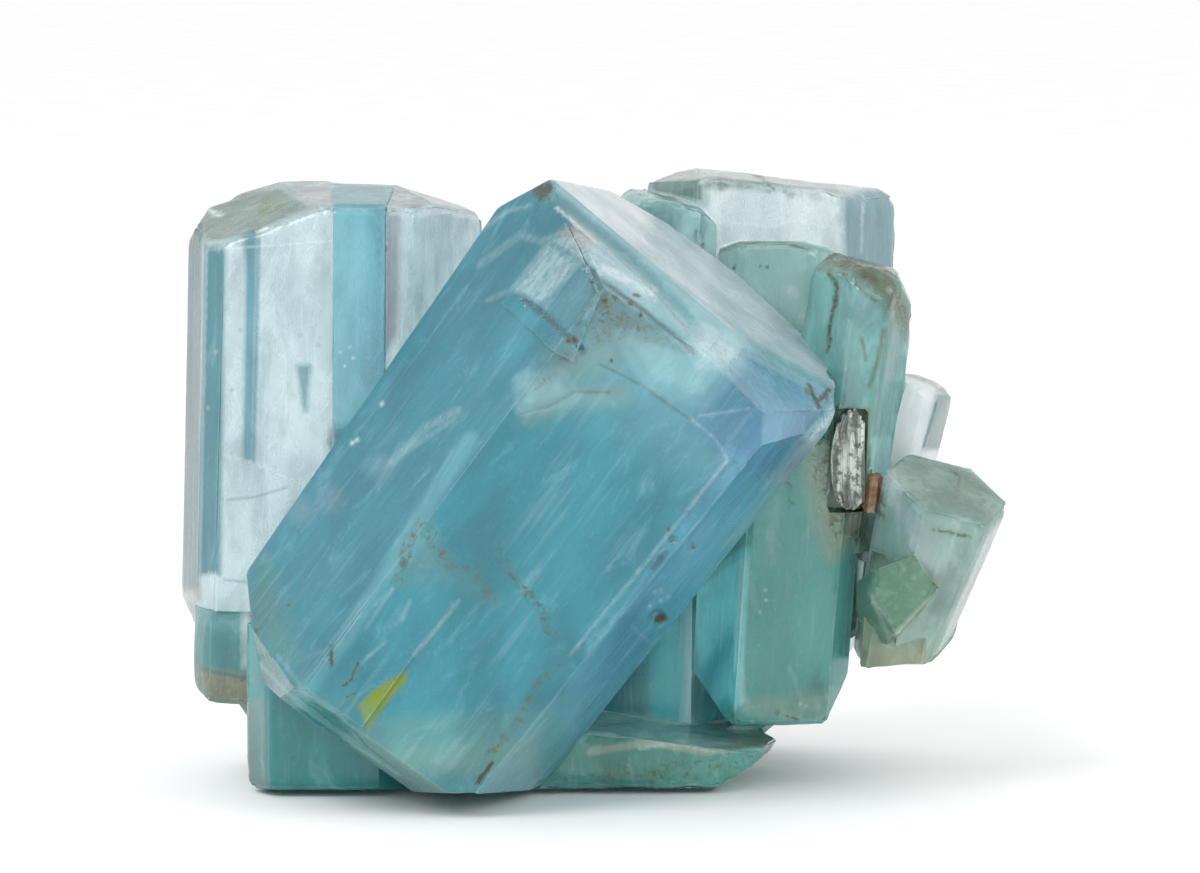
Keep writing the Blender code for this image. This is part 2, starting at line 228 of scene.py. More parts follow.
# painted shadow: dark lines under the ledge's overhanging edge and under the plate's lower edge
mark(M, {(84, 108, 112): 0.85}, "line", 4, (585, 268), (640, 308), (668, 330), (693, 354))
mark(M, {(70, 100, 106): 0.9}, "line", 4, (521, 297), (548, 318), (582, 350))
mark(M, {"frost_and_highlight": 0.55}, "area", 4, (512, 290), (545, 306), (578, 264), (548, 243))
mark(M, {(92, 152, 164): 0.85}, "area", 4, (582, 262), (592, 300), (580, 348), (546, 308))
mark(M, {"stain": 0.9}, "area", 4, (528, 190), (545, 177), (556, 184), (550, 198), (538, 205))
mark(M, {(128, 162, 154): 0.5}, "line", 18, (530, 415), (575, 399), (620, 394))
mark(M, {(96, 110, 108): 0.5}, "line", 2.5, (600, 365), (640, 385), (690, 420))
mark(M, {(110, 120, 112): 0.5}, "line", 2.5, (520, 415), (550, 407), (575, 393), (610, 393))
mark(M, {(160, 206, 210): 0.6}, "area", 10, (520, 380), (560, 372), (575, 395), (545, 408), (520, 408))
mark(M, {(160, 208, 216): 0.6}, "area", 12, (620, 335), (660, 338), (740, 366), (705, 402), (650, 385))
mark(M, {"frost_and_highlight": 0.22}, "line", 4, (470, 240), (505, 212), (530, 205))
mark(M, {"frost_and_highlight": 0.22}, "line", 6, (480, 265), (520, 235), (548, 243))
mark(M, {"frost_and_highlight": 0.2}, "line", 4, (488, 300), (515, 288))
# relief of the tip: the groove, the ledges, the pocket and the lower ground at the right
mark(M, {"press": 0.35}, "line", 9, (548, 194), (600, 235), (650, 278), (690, 321))
mark(M, {"press": -0.18}, "area", 3, (557, 236), (580, 226), (655, 292), (690, 340), (640, 302), (598, 276))
mark(M, {"press": 0.28}, "line", 5, (585, 268), (640, 308), (668, 330), (693, 354))
mark(M, {"press": 0.25}, "line", 5, (521, 297), (548, 318), (582, 350))
mark(M, {"press": 0.12}, "area", 3, (582, 262), (592, 300), (580, 348), (546, 308))
mark(M, {"press": -0.12}, "area", 3, (512, 290), (545, 306), (578, 264), (548, 243))
mark(M, {"press": 0.2}, "area", 4, (747, 350), (838, 400), (806, 436), (775, 478), (728, 460), (690, 420),
     (702, 400))
mark(M, {"press": 0.15}, "area", 3, (730, 462), (770, 484), (640, 660), (575, 730), (560, 700),
     (573, 656), (650, 559))
mark(M, {"press": 0.1}, "line", 3, (600, 365), (640, 385), (690, 420))
mark(M, {"press": 0.1}, "line", 3, (520, 415), (550, 407), (575, 393), (610, 393))
mark(M, {"press": 0.12}, "area", 3, (277, 655), (302, 687), (339, 715), (362, 745), (400, 775),
     (360, 748), (300, 705), (250, 655))
mark(M, {"press": 0.12}, "line", 4, (333, 645), (328, 665))
mark(M, {"press": 0.5}, "dots", 10, (660, 619))
mark(M, {"press": 0.25}, "dots", 6, (672, 540), (660, 560), (693, 547))
mark(M, {"press": 0.25}, "line", 5, (490, 766), (479, 784))
mark(M, {"press": 0.15}, "line", 5, (812, 385), (822, 404), (829, 388))
# the left side
mark(M, {(150, 168, 184): 0.3}, "dots", 22, (380, 468), (330, 500), (300, 510))
mark(M, {"frost_and_highlight": 0.8}, "dots", 4, (352, 443), (357, 440), (382, 404))
mark(M, {"frost_and_highlight": 0.26}, "line", 6, (392, 462), (428, 426), (458, 410))
mark(M, {"frost_and_highlight": 0.22}, "line", 4, (412, 448), (455, 418))
mark(M, {(104, 178, 190): 0.7}, "line", 13, (470, 440), (400, 548), (345, 640), (300, 700))
mark(M, {"frost_and_highlight": 0.3}, "line", 3, (393, 588), (366, 628))
mark(M, {(96, 140, 124): 0.5}, "area", 12, (246, 600), (262, 556), (280, 600), (300, 660), (262, 650))
mark(M, {"stain": 0.7}, "dots", 4, (257, 632), (253, 616), (250, 650), (288, 605))
# the dirt near the foot, the green patch and the growth lines
mark(M, {"stain": 1.0}, "line", 4, (333, 645), (328, 665))
mark(M, {"stain": 0.9}, "line", 3.5, (357, 662), (353, 680), (343, 687))
mark(M, {"stain": 0.7}, "line", 3, (344, 700), (356, 695))
mark(M, {"clear": 0.0, (116, 138, 28): 1.0}, "area", 2.5, (406, 670), (407, 680), (386, 704), (367, 734),
     (359, 705), (372, 691))
mark(M, {(116, 138, 40): 0.7}, "line", 3, (352, 700), (360, 712))
mark(M, {"frost_and_highlight": 0.34}, "line", 3.5, (414, 655), (459, 601))
mark(M, {"frost_and_highlight": 0.3}, "line", 3, (362, 662), (384, 643))
mark(M, {"frost_and_highlight": 0.25}, "line", 2.5, (375, 605), (392, 588))
mark(M, {"frost_and_highlight": 0.2}, "line", 3, (402, 620), (410, 600))
mark(M, {(98, 146, 146): 0.6}, "area", 12, (422, 517), (445, 560), (490, 600), (440, 575), (398, 582))
mark(M, {"stain": 0.5}, "line", 10, (422, 519), (408, 547), (398, 582))
mark(M, {"stain": 0.44}, "line", 10, (422, 519), (443, 562), (476, 570), (489, 600))
mark(M, {"stain": 0.44}, "line", 11, (500, 553), (515, 578), (535, 600), (553, 632))
mark(M, {"stain": 0.44}, "line", 9, (566, 652), (538, 687), (525, 708), (507, 738), (489, 756))
mark(M, {"stain": 1.2}, "line", 5, (490, 766), (479, 784))
mark(M, {(120, 180, 180): 0.6}, "line", 3, (277, 655), (302, 687), (339, 715), (362, 745))
mark(M, {(120, 176, 174): 0.5}, "line", 3, (250, 655), (300, 705), (360, 748), (400, 775))
mark(M, {(84, 156, 154): 0.4}, "area", 20, (262, 640), (340, 690), (420, 770), (360, 750), (290, 705))
mark(M, {(128, 168, 148): 0.6}, "area", 26, (360, 745), (400, 732), (545, 722), (560, 760), (540, 792),
     (400, 785))
# the right side
mark(M, {(100, 160, 200): 0.5}, "area", 16, (735, 425), (800, 400), (788, 445), (700, 560), (650, 612),
     (600, 690), (575, 690), (728, 462))
# the ridge's worn edge, with a painted highlight along it
mark(M, {"frost_and_highlight": 0.34}, "line", 3, (728, 460), (650, 557), (571, 654))
mark(M, {"frost_and_highlight": 0.28}, "line", 3, (690, 418), (716, 440), (728, 460))
mark(M, {"frost_and_highlight": 0.25}, "line", 2.5, (700, 416), (748, 409))
mark(M, {"frost_and_highlight": 0.25}, "line", 2.5, (632, 626), (648, 641))
mark(M, {"stain": 0.8}, "dots", 5, (672, 540), (693, 547), (668, 528))
mark(M, {(52, 92, 104): 0.8}, "line", 5, (654, 567), (665, 553))
mark(M, {"stain": 1.0}, "dots", 10, (660, 619))
mark(M, {(40, 66, 40): 1.0}, "dots", 6, (658, 619), (663, 618))
# painted glints: small white dots beside the hole, laid as painted highlight
mark(M, {"frost_and_highlight": 0.45}, "dots", 3.5, (661, 590), (661, 601), (668, 597), (655, 592), (650, 606))
mark(M, {"stain": 1.0}, "line", 5, (684, 616), (678, 640))
mark(M, {"stain": 1.1}, "line", 4, (810, 385), (818, 406))
mark(M, {"stain": 1.1}, "line", 4, (817, 402), (829, 388))
mark(M, {"stain": 0.8}, "dots", 6, (806, 392), (826, 399))
mark(M, {"frost_and_highlight": 0.8}, "area", 4, (838, 402), (805, 437), (813, 446), (842, 408))
mark(M, {(158, 172, 184): 0.7}, "area", 6, (805, 437), (768, 482), (785, 488), (818, 447))
mark(M, {(140, 180, 174): 0.6}, "area", 6, (770, 485), (745, 520), (722, 545), (736, 542), (786, 492))
print("marks on the big prism:", len(MARKS))

# %% The clear plate and its neighbours at the left
L = "left"
# blue bands of colour in the plate, painted also to stand for the internal reflections seen through it
mark(L, {(30, 92, 100): 1.0, "clear": 0.1}, "area", 4, (184, 215), (205, 215), (200, 600), (176, 600))
mark(L, {(0, 112, 124): 0.98, "clear": 0.12}, "area", 3, (206, 246), (226, 246), (221, 575), (199, 575))
mark(L, {(66, 140, 158): 0.9, "clear": 0.3}, "area", 3, (246, 228), (258, 228), (253, 462), (242, 462))
mark(L, {(96, 150, 160): 0.8}, "line", 3, (259, 240), (254, 462))
mark(L, {(70, 136, 142): 0.9}, "area", 3, (296, 365), (311, 365), (307, 412), (303, 412))
mark(L, {"frost_and_highlight": 0.45}, "line", 2, (210, 250), (330, 241), (384, 243))
mark(L, {(226, 218, 218): 0.8}, "area", 3, (280, 184), (332, 184), (332, 205), (318, 207))
mark(L, {(222, 222, 220): 0.6}, "area", 4, (390, 188), (490, 215), (466, 230), (400, 207))
mark(L, {(78, 106, 92): 0.92, "clear": 0.2, "stain": 0.16}, "area", 6, (212, 195), (280, 184), (318, 208),
     (252, 236), (205, 246), (198, 215))
mark(L, {(78, 100, 46): 0.9}, "dots", 6, (266, 200), (280, 208), (262, 212), (267, 208))
mark(L, {(128, 118, 104): 0.8}, "line", 6, (202, 218), (212, 199), (242, 192))
# a painted glint on the plate's rim
mark(L, {"frost_and_highlight": 1.0}, "line", 4, (210, 211), (220, 215))
mark(L, {(92, 142, 146): 0.75}, "area", 3, (240, 222), (257, 238), (252, 268), (246, 262))
mark(L, {(150, 162, 166): 0.6}, "dots", 3.5, (216, 352), (208, 408), (232, 390), (240, 330), (300, 335),
     (318, 345))
mark(L, {"frost_and_highlight": 0.12}, "area", 12, (222, 455), (255, 460), (300, 480), (330, 480), (250, 560), (222, 560))
mark(L, {"frost_and_highlight": 0.5}, "line", 4, (224, 455), (262, 466), (318, 492))
mark(L, {(130, 158, 162): 0.7}, "line", 2.5, (228, 500), (255, 497), (285, 488))
mark(L, {(130, 158, 162): 0.7}, "line", 2.5, (226, 580), (246, 582))
mark(L, {"frost_and_highlight": 0.15}, "area", 12, (260, 300), (325, 285), (325, 340), (260, 345))
mark(L, {"clear": 0.4, (146, 152, 162): 0.9}, "area", 4, (385, 213), (401, 213), (398, 335), (384, 355))
mark(L, {(188, 186, 164): 0.75}, "area", 4, (176, 588), (198, 592), (196, 630), (178, 614))
mark("column", {(70, 142, 160): 0.8}, "area", 8, (372, 188), (386, 188), (386, 372), (366, 385))
mark("column left", {"clear": 0.4}, "area", 4, (331, 180), (388, 180), (388, 212), (331, 208))
mark("column left", {(84, 146, 154): 0.85}, "area", 4, (331, 180), (388, 183), (388, 212), (330, 208))
mark("column", {"frost_and_highlight": 0.7}, "dots", 3, (340, 352), (350, 347), (353, 358), (345, 366))
mark("heel left_root", {(226, 232, 230): 0.8}, "area", 3, (242, 610), (251, 610), (251, 668), (242, 668))
mark("heel left_root", {(156, 152, 124): 0.9, "stain": 0.25}, "area", 5, (194, 668), (245, 674),
     (264, 700), (245, 710), (203, 697))
mark("heel left_root", {(88, 112, 108): 0.7}, "line", 3, (196, 669), (245, 678))
mark("corner", {(118, 154, 152): 0.85}, "area", 3, (246, 700), (268, 700), (268, 792), (246, 792))
mark("corner", {(52, 150, 150): 0.8}, "area", 4, (269, 680), (362, 740), (362, 792), (269, 792))
print("marks so far:", len(MARKS))

# %% The crystals at the right and behind
mark("green", {(150, 150, 110): 0.6}, "area", 9, (800, 445), (838, 425), (840, 500), (860, 545),
     (830, 560), (812, 510))
mark("green", {"stain": 0.42}, "line", 9, (792, 470), (788, 506))
mark("green", {"stain": 0.36}, "area", 9, (806, 450), (838, 430), (842, 505), (862, 540), (835, 552),
     (815, 505))
# painted shade: a dark patch in the recess between the green and stained crystals
mark("green", {(56, 70, 34): 0.95}, "area", 4, (840, 507), (864, 503), (866, 542), (850, 536))
mark("stained stained_step right_root", {(60, 74, 38): 0.9}, "area", 3, (842, 506), (868, 504),
     (870, 548), (850, 545))
mark("green", {"stain": 0.9}, "line", 3.5, (866, 430), (868, 500), (865, 560))
mark("green", {"frost_and_highlight": 0.15}, "line", 8, (777, 500), (770, 565))
mark("green", {"frost_and_highlight": 0.5}, "dots", 3, (765, 590), (760, 612), (766, 600), (800, 704), (806, 706))
mark("green", {(128, 160, 142): 0.7}, "area", 6, (742, 702), (836, 690), (830, 726), (756, 720))
mark("green", {"stain": 0.55}, "line", 3, (775, 712), (800, 722))
# painted light: the green crystal's left faces laid pale, lifting the shadow that the big prism casts on them
mark("green", {(120, 232, 236): 0.95}, "area", 6, (690, 590), (746, 550), (738, 702), (700, 740))
mark("green", {(148, 190, 184): 0.5}, "line", 6, (742, 560), (738, 640), (742, 700))
mark("inner", {(14, 150, 156): 0.9}, "area", 4, (643, 655), (683, 620), (680, 742), (640, 742))
mark("inner", {(156, 204, 208): 0.6}, "area", 4, (690, 620), (706, 600), (700, 745), (680, 745))
mark("broken", {(168, 184, 164): 0.8}, "line", 6, (590, 752), (650, 742), (705, 752), (770, 740))
mark("broken", {"frost_and_highlight": 0.5}, "line", 4, (640, 748), (680, 742), (704, 750))
mark("broken", {"stain": 0.36}, "area", 12, (560, 770), (640, 760), (760, 748), (720, 785), (560, 790))
S = "stained stained_step"
mark(S, {(96, 112, 84): 0.9, "stain": 0.42}, "area", 8, (815, 245), (850, 233), (888, 258), (908, 298),
     (918, 322), (905, 336), (880, 302), (850, 277), (818, 266))
mark(S, {(46, 60, 32): 0.95}, "dots", 7, (845, 266), (852, 262), (872, 280), (866, 275))
mark(S, {"frost_and_highlight": 0.6}, "dots", 6, (830, 250), (862, 255), (890, 290))
mark(S, {"stain": 1.0}, "line", 4, (830, 270), (836, 290), (832, 325), (826, 350))
mark(S, {"stain": 0.6}, "line", 3.5, (845, 275), (860, 290), (872, 300))
mark(S, {(104, 122, 88): 0.8}, "line", 4, (884, 330), (878, 360), (870, 385))
mark(S, {(150, 190, 186): 0.6}, "area", 5, (838, 285), (866, 300), (862, 420), (838, 420))
mark(S, {(100, 110, 96): 0.8}, "line", 3, (862, 340), (866, 360))
mark("shaded", {(110, 126, 108): 0.8}, "line", 4, (717, 252), (745, 243), (775, 240), (808, 250))
mark("shaded", {"stain": 0.7}, "dots", 4, (735, 265), (762, 266), (770, 267))
mark("shaded", {"frost_and_highlight": 0.6}, "dots", 10, (790, 292), (806, 318), (760, 300))
mark("shaded", {"stain": 0.5}, "line", 4, (826, 300), (822, 350), (818, 380))
mark("knob", {"stain": 0.8}, "dots", 5, (690, 207), (704, 214), (700, 246))
mark("knob", {(168, 214, 212): 0.7}, "area", 6, (668, 205), (722, 215), (716, 246), (690, 236))
mark("back", {(92, 124, 114): 0.95, "clear": 0.3}, "area", 6, (645, 168), (704, 166), (706, 205),
     (650, 195))
mark("back", {"clear": 0.3, (76, 130, 140): 0.9}, "area", 5, (842, 196), (866, 186), (908, 190),
     (904, 340), (846, 330))
mark("back", {"frost_and_highlight": 0.5}, "line", 2.5, (863, 190), (862, 250))
mark("back", {"frost_and_highlight": 0.5}, "line", 4, (720, 222), (770, 226), (800, 220), (842, 230))
mark("back", {"frost_and_highlight": 0.4}, "area", 8, (706, 190), (832, 190), (832, 222), (706, 216))
mark("back", {(140, 154, 146): 0.8}, "area", 4, (706, 170), (770, 176), (834, 182), (834, 192), (706, 188))
mark("back", {"stain": 0.75}, "line", 4, (735, 168), (760, 176), (772, 187))
mark("back", {"stain": 0.9}, "line", 4, (884, 191), (902, 202))
mark("back", {(128, 150, 150): 0.7}, "dots", 6, (740, 185), (785, 190), (790, 196))
mark("small_clear", {(170, 164, 148): 0.7}, "line", 4, (898, 372), (925, 380), (954, 396))
mark("small_clear", {"stain": 0.3}, "line", 5, (898, 372), (925, 380), (954, 396))
mark("small_clear", {(150, 168, 164): 0.85}, "area", 3, (936, 392), (958, 392), (950, 450), (924, 450))
mark("small_clear", {(96, 138, 146): 0.9}, "line", 2.5, (936, 404), (924, 446))
mark("tilted", {(112, 142, 126): 0.75}, "area", 8, (893, 450), (950, 452), (1000, 490), (985, 520),
     (930, 510), (905, 490))
mark("tilted", {(206, 218, 216): 0.75}, "area", 5, (884, 448), (892, 470), (900, 500), (915, 520),
     (905, 525), (884, 490), (878, 465))
mark("tilted", {(176, 194, 188): 0.8}, "dots", 12, (937, 478))
mark("tilted", {(134, 164, 156): 0.9}, "dots", 8, (937, 478))
mark("tilted", {"stain": 0.8}, "line", 3.5, (953, 472), (962, 478), (958, 488))
mark("tilted", {"stain": 0.75}, "line", 5, (935, 530), (955, 532), (970, 536))
mark("tilted", {(208, 220, 220): 0.6}, "area", 10, (900, 510), (935, 540), (930, 600), (905, 560))
mark("bud", {"stain": 0.9}, "dots", 5, (937, 585), (939, 597))
mark("bud", {(190, 206, 184): 0.7}, "line", 4, (868, 590), (890, 640), (930, 600))
mark("stained stained_step inner rear_right rear_low right_root", {(86, 112, 92): 0.9, "clear": 0.2},
     "area", 4, (840, 508), (905, 515), (880, 560), (838, 560))
# painted shade in the same recess
mark("stained stained_step", {(44, 58, 22): 0.95}, "area", 4, (840, 507), (864, 503), (866, 542),
     (846, 545))
# painted shade: dark fill in the narrow slot between the crystals at the lower right
mark("rear_right rear_low right_root tilted", {(36, 66, 56): 1.0, "clear": 0.15}, "area", 3, (849, 540),
     (859, 540), (858, 700), (846, 700))
mark("right_root tilted", {"stain": 0.85}, "area", 5, (866, 470), (884, 476), (882, 520), (866, 512))
mark("right_root", {(176, 172, 140): 0.6}, "area", 8, (858, 645), (900, 650), (940, 640), (930, 664),
     (860, 672))
print("marks in all:", len(MARKS))

# %% [markdown]
# ## A mesh fine enough to wear
# The model's faces are a few big flat polygons, so there is nothing to wear or etch. Subdividing them
# would give long thin slivers. Instead each flat face gets a lattice of points, closer on the faces that
# the camera looks at, a row of points just inside its edges, and a triangulation that keeps those edges.
# Two faces share the points on the edge between them, so the mesh stays closed.

# %% Flat faces of the cluster, in millimetres
CLOSE = 0.42
USUAL = 0.66
FAR = 0.95
EDGE_ROW = 0.16
SAME_PLANE = 0.4


def flat_faces(node):
    """The node's mesh as large flat polygons, in millimetres."""
    faces = bmesh.new()
    faces.from_mesh(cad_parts[node].data)
    bmesh.ops.transform(faces, matrix=Matrix.Scale(1 / MM, 4), verts=faces.verts)
    bmesh.ops.remove_doubles(faces, verts=faces.verts, dist=0.001)
    flat = math.radians(SAME_PLANE)
    bmesh.ops.dissolve_limit(faces, angle_limit=flat, verts=faces.verts, edges=faces.edges)
    faces.normal_update()
    faces.verts.index_update()
    faces.faces.index_update()
    return faces


cluster = flat_faces("aquamarine_cluster")
owners = [owner_of(np.array(f.calc_center_median()), np.array(f.normal)) for f in cluster.faces]
for place, name in SETTLED:
    nearest = min(cluster.faces, key=lambda f: (f.calc_center_median() - Vector(place)).length)
    owners[nearest.index] = NAMES.index(name)
print("flat faces:", len(cluster.faces), "edges:", len(cluster.edges))


# %% Brushes
def smooth(value, low, high):
    """0 below low, 1 above high, and a soft step between."""
    share = np.clip((value - low) / (high - low), 0.0, 1.0)
    return share * share * (3.0 - 2.0 * share)


def near_line(places, line, width):
    """1 on a line through these places, and 0 further from it than the width."""
    nearest = np.full(len(places), 1e9)
    for start, end in zip(line, line[1:] or line):
        start, end = np.array(start, float), np.array(end, float)
        run = end - start
        share = np.clip((places - start) @ run / max(run @ run, 1e-9), 0.0, 1.0)
        nearest = np.minimum(nearest, np.linalg.norm(places - start - share[:, None] * run, axis=1))
    return 1.0 - smooth(nearest, 0.2 * width, width)


def in_outline(places, outline, soft):
    """1 inside a flat outline, fading over a soft rim."""
    outline = np.array(outline, float)
    inside = inside_and_far(places, outline, -1.0)
    rim = near_line(places, list(outline) + [outline[0]], soft)
    return np.where(inside, 1.0 - 0.5 * rim, 0.5 * rim)


def inside_and_far(spots, corners, least):
    """Which of these flat points lie inside the outline, at least this far from it."""
    start, end = corners, np.roll(corners, -1, axis=0)
    x, y = spots[:, :1], spots[:, 1:]
    x1, y1, x2, y2 = start[:, 0], start[:, 1], end[:, 0], end[:, 1]
    straddles = (y1 > y) != (y2 > y)
    rise = np.where(y2 == y1, 1.0, y2 - y1)
    crossings = straddles & (x < (x2 - x1) * (y - y1) / rise + x1)
    run = end - start
    length = np.maximum((run**2).sum(1), 1e-12)
    share = np.clip(((x - x1) * run[:, 0] + (y - y1) * run[:, 1]) / length, 0.0, 1.0)
    gap = np.hypot(x - x1 - share * run[:, 0], y - y1 - share * run[:, 1]).min(1)
    return (crossings.sum(1) % 2 == 1) & (gap > least)


WAVERING = ("stain",)


def waver(here):
    """A small drift of places on the front view, so that no mark is ruler straight."""
    x, y = here[:, 0], here[:, 1]
    return np.stack([
        1.3 * np.sin(y / 8.3 + 0.4) + 0.8 * np.sin((x + y) / 4.1 + 1.7) + 0.9 * np.sin((x - y) / 13.0),
        1.3 * np.sin(x / 7.1 + 2.2) + 0.8 * np.sin((x - y) / 4.7 + 0.3) + 0.9 * np.sin((x + y) / 15.0),
    ], axis=1)


def brush(what, form, soft, places, here):
    """How strongly a mark covers these places of the front view, from 0 to 1."""
    if what in WAVERING:
        here = here + waver(here)
    if form == "line":
        return near_line(here, places, soft)
    if form == "area":
        return in_outline(here, places, soft)
    return np.max([near_line(here, [dot], soft) for dot in places], axis=0)


# %% A lattice on each face
GUIDE_STEP = 3.5
GUIDE_GAP = 0.12
CRISP = 6


def spacing(face):
    """Closest on the big crystal's faces that the camera sees, widest at the back and below."""
    towards = face.normal.y
    if NAMES[owners[face.index]] == "main" and (towards < -0.2 or face.normal.z > 0.6):
        return CLOSE
    return FAR if towards > 0.3 or face.normal.z < -0.8 else USUAL


def cut_edges(faces, points):
    """Adds shared points along every edge and returns, for each edge, their numbers from its first vertex."""
    cuts = []
    for edge in faces.edges:
        first, last = edge.verts
        step = min(spacing(f) for f in edge.link_faces)
        parts = max(1, math.ceil(edge.calc_length() / step))
        row = [first.index]
        for i in range(1, parts):
            row.append(len(points))
            points.append(np.array(first.co.lerp(last.co, i / parts)))
        cuts.append(row + [last.index])
    return cuts


def outline_of(face, cuts):
    """The numbers of the points round a face, in order."""
    ring = []
    for loop in face.loops:
        row = cuts[loop.edge.index]
        ring += row[:-1] if row[0] == loop.vert.index else row[:0:-1]
    return ring


def lattice(corners, step):
    """A staggered lattice over the outline's box, and a row of points just inside its edges."""
    low, high = corners.min(0), corners.max(0)
    rows = np.arange(low[1], high[1], step * math.sqrt(3) / 2)
    columns = np.arange(low[0], high[0], step)
    grid = np.array([(x + step / 2 * (i % 2), y) for i, y in enumerate(rows) for x in columns]).reshape(-1, 2)
    grid = grid[inside_and_far(grid, corners, step * 0.5)] if len(grid) else grid
    run = np.roll(corners, -1, axis=0) - np.roll(corners, 1, axis=0)
    run /= np.maximum(np.linalg.norm(run, axis=1), 1e-9)[:, None]
    row = corners + EDGE_ROW * np.stack([-run[:, 1], run[:, 0]], axis=1)
    row = row[inside_and_far(row, corners, EDGE_ROW * 0.8)]
    return np.concatenate([grid, row])


def guide_rows(what, form, soft, places):
    """Places along a mark and just outside it, so that its edge falls on the mesh and stays crisp."""
    if form == "dots":
        turns = np.linspace(0.0, 2 * math.pi, 8, endpoint=False)
        ring = np.stack([np.cos(turns), np.sin(turns)], axis=1)
        rings = [ring * soft * share for share in (0.0, 0.45, 0.95)]
        rows = np.concatenate([np.array(dot) + round_it for dot in places for round_it in rings])
        return rows - waver(rows) if what in WAVERING else rows
    rows = []
    line = places + [places[0]] if form == "area" else places
    offsets = (-1.0, 0.0, 1.0) if soft <= 5 else (-1.0, -0.3, 0.3, 1.0)
    for start, end in zip(line, line[1:]):
        start, end = np.array(start), np.array(end)
        run = end - start
        length = max(np.linalg.norm(run), 1e-6)
        side = np.array((-run[1], run[0])) / length
        shares = np.linspace(0.0, 1.0, max(2, int(length / GUIDE_STEP) + 1))
        rows += [start + run * share + side * soft * offset for share in shares for offset in offsets]
    rows = np.array(rows)
    return rows - waver(rows) if what in WAVERING else rows


GUIDES = []
for names, what, _, form, soft, places in MARKS:
    if soft <= CRISP:
        GUIDES.append((names, guide_rows(what, form, soft, places)))


def guide_points(face, corners, right, up):
    """The guide rows that fall on this face, as flat points."""
    normal = np.array(face.normal)
    point = np.array(face.verts[0].co)
    mine = [rows for names, rows in GUIDES if NAMES[owners[face.index]] in names]
    if not mine or normal @ (point - eye) >= -0.02 * np.linalg.norm(point - eye):
        return np.zeros((0, 2))
    places = on_plane(np.concatenate(mine), point, normal)
    flat = np.stack([places @ right, places @ up], axis=1)
    flat = flat[inside_and_far(flat, corners, 0.14)]
    cells = np.unique(np.round(flat / GUIDE_GAP), axis=0, return_index=True)[1]
    return flat[cells]


def fine_mesh(faces):
    """Points, triangles, each triangle's flat face, and the points along each edge."""
    points = [np.array(v.co) for v in faces.verts]
    cuts = cut_edges(faces, points)
    triangles, home = [], []
    for face in faces.faces:
        ring = outline_of(face, cuts)
        out = np.array(face.normal)
        right = np.cross(out, (0.0, 0.0, 1.0) if abs(out[2]) < 0.9 else (0.0, 1.0, 0.0))
        right /= np.linalg.norm(right)
        up = np.cross(out, right)
        rim = np.array([points[i] for i in ring])
        flat = np.stack([rim @ right, rim @ up], axis=1)
        level = (rim @ out).mean()
        extra = np.concatenate([lattice(flat, spacing(face)), guide_points(face, flat, right, up)])
        numbers = list(ring)
        for x, y in extra:
            numbers.append(len(points))
            points.append(right * x + up * y + out * level)
        flat = np.concatenate([flat, extra])
        count = len(ring)
        rim_edges = [(i, (i + 1) % count) for i in range(count)]
        found = delaunay_2d_cdt([Vector(p) for p in flat], rim_edges, [], 1, 1e-7)
        source = [numbers[old[0]] if old else -1 for old in found[3]]
        for corner in found[2]:
            triangles.append([source[i] for i in corner])
            home.append(face.index)
    return np.array(points), np.array(triangles), np.array(home), cuts


points, triangles, home, cuts = fine_mesh(cluster)
print("points:", len(points), "triangles:", len(triangles), "unplaced:", int((triangles < 0).sum()))

# %% [markdown]
# ## Worn edges and grown faces
# A crystal that was dug out has worn edges with a few chips, and its faces are never quite flat: they
# stopped growing in broad low hills, and the broken or etched crystals are rough. A bevel modifier would
# fail where three crystals meet, so the lattice's points are moved instead: near a convex edge they roll
# over to a radius, which is larger on the dissolved crystals. Towards a seam, where crystals grew into
# each other, nothing moves.

# %% How worn each crystal is
ROLL_MOST = 1.6
ROLL_SHARE = 0.42
CHIP = 1.2
CROWDING = 0.19
HILL = 0.05
SEAM_LEAST = 0.05
ROUND = {
    # how round the convex edges have worn, as a radius
    "main": 0.7,
    "left": 1.3,
    "column": 1.3,
    "heel": 2.0,
    "left_root": 5.0,
    "corner": 1.2,
    "back": 3.0,
    "shaded": 3.2,
    "knob": 3.5,
    "stained": 2.4,
    "stained_step": 2.0,
    "small_clear": 1.4,
    "tilted": 3.6,
    "bud": 2.4,
    "right_root": 5.0,
    "green": 1.6,
    "inner": 0.6,
    "broken": 1.6,
    "rear": 1.5,
    "rear_left": 1.5,
    "rear_right": 1.5,
    "rear_low": 2.5,
}
RUGGED = {
    # broken or etched crystals: (depth, from this height up or down along them)
    "stained": (0.40, 19.0, 1),
    "stained_step": (0.35, 15.0, 1),
    "shaded": (0.22, 29.0, 1),
    "knob": (0.22, 27.0, 1),
    "heel": (0.35, 4.0, -1),
    "left": (0.16, 39.0, 1),
    "back": (0.14, 57.0, 1),
    "broken": (0.35, 99.0, -1),
    "right_root": (0.30, 6.0, -1),
    "green": (0.22, 5.0, -1),
    "tilted": (0.10, 99.0, -1),
    "bud": (0.10, 99.0, -1),
    "small_clear": (0.12, 16.0, 1),
}
print("worn crystals:", len(ROUND), "rugged ones:", len(RUGGED))


# %% Roll the edges over, and roughen what is broken
def wander(place, size, seed):
    """Smooth noise from -1 to 1 that changes over this many millimetres."""
    return noise.noise(Vector(place) / size + Vector((seed, seed, seed)))


def outward(faces, triangles, home, count):
    """The direction out of the surface at each point."""
    out = np.zeros((count, 3))
    for number, face in enumerate(faces.faces):
        out[np.unique(triangles[home == number])] += np.array(face.normal)
    return out / np.maximum(np.linalg.norm(out, axis=1), 1e-9)[:, None]


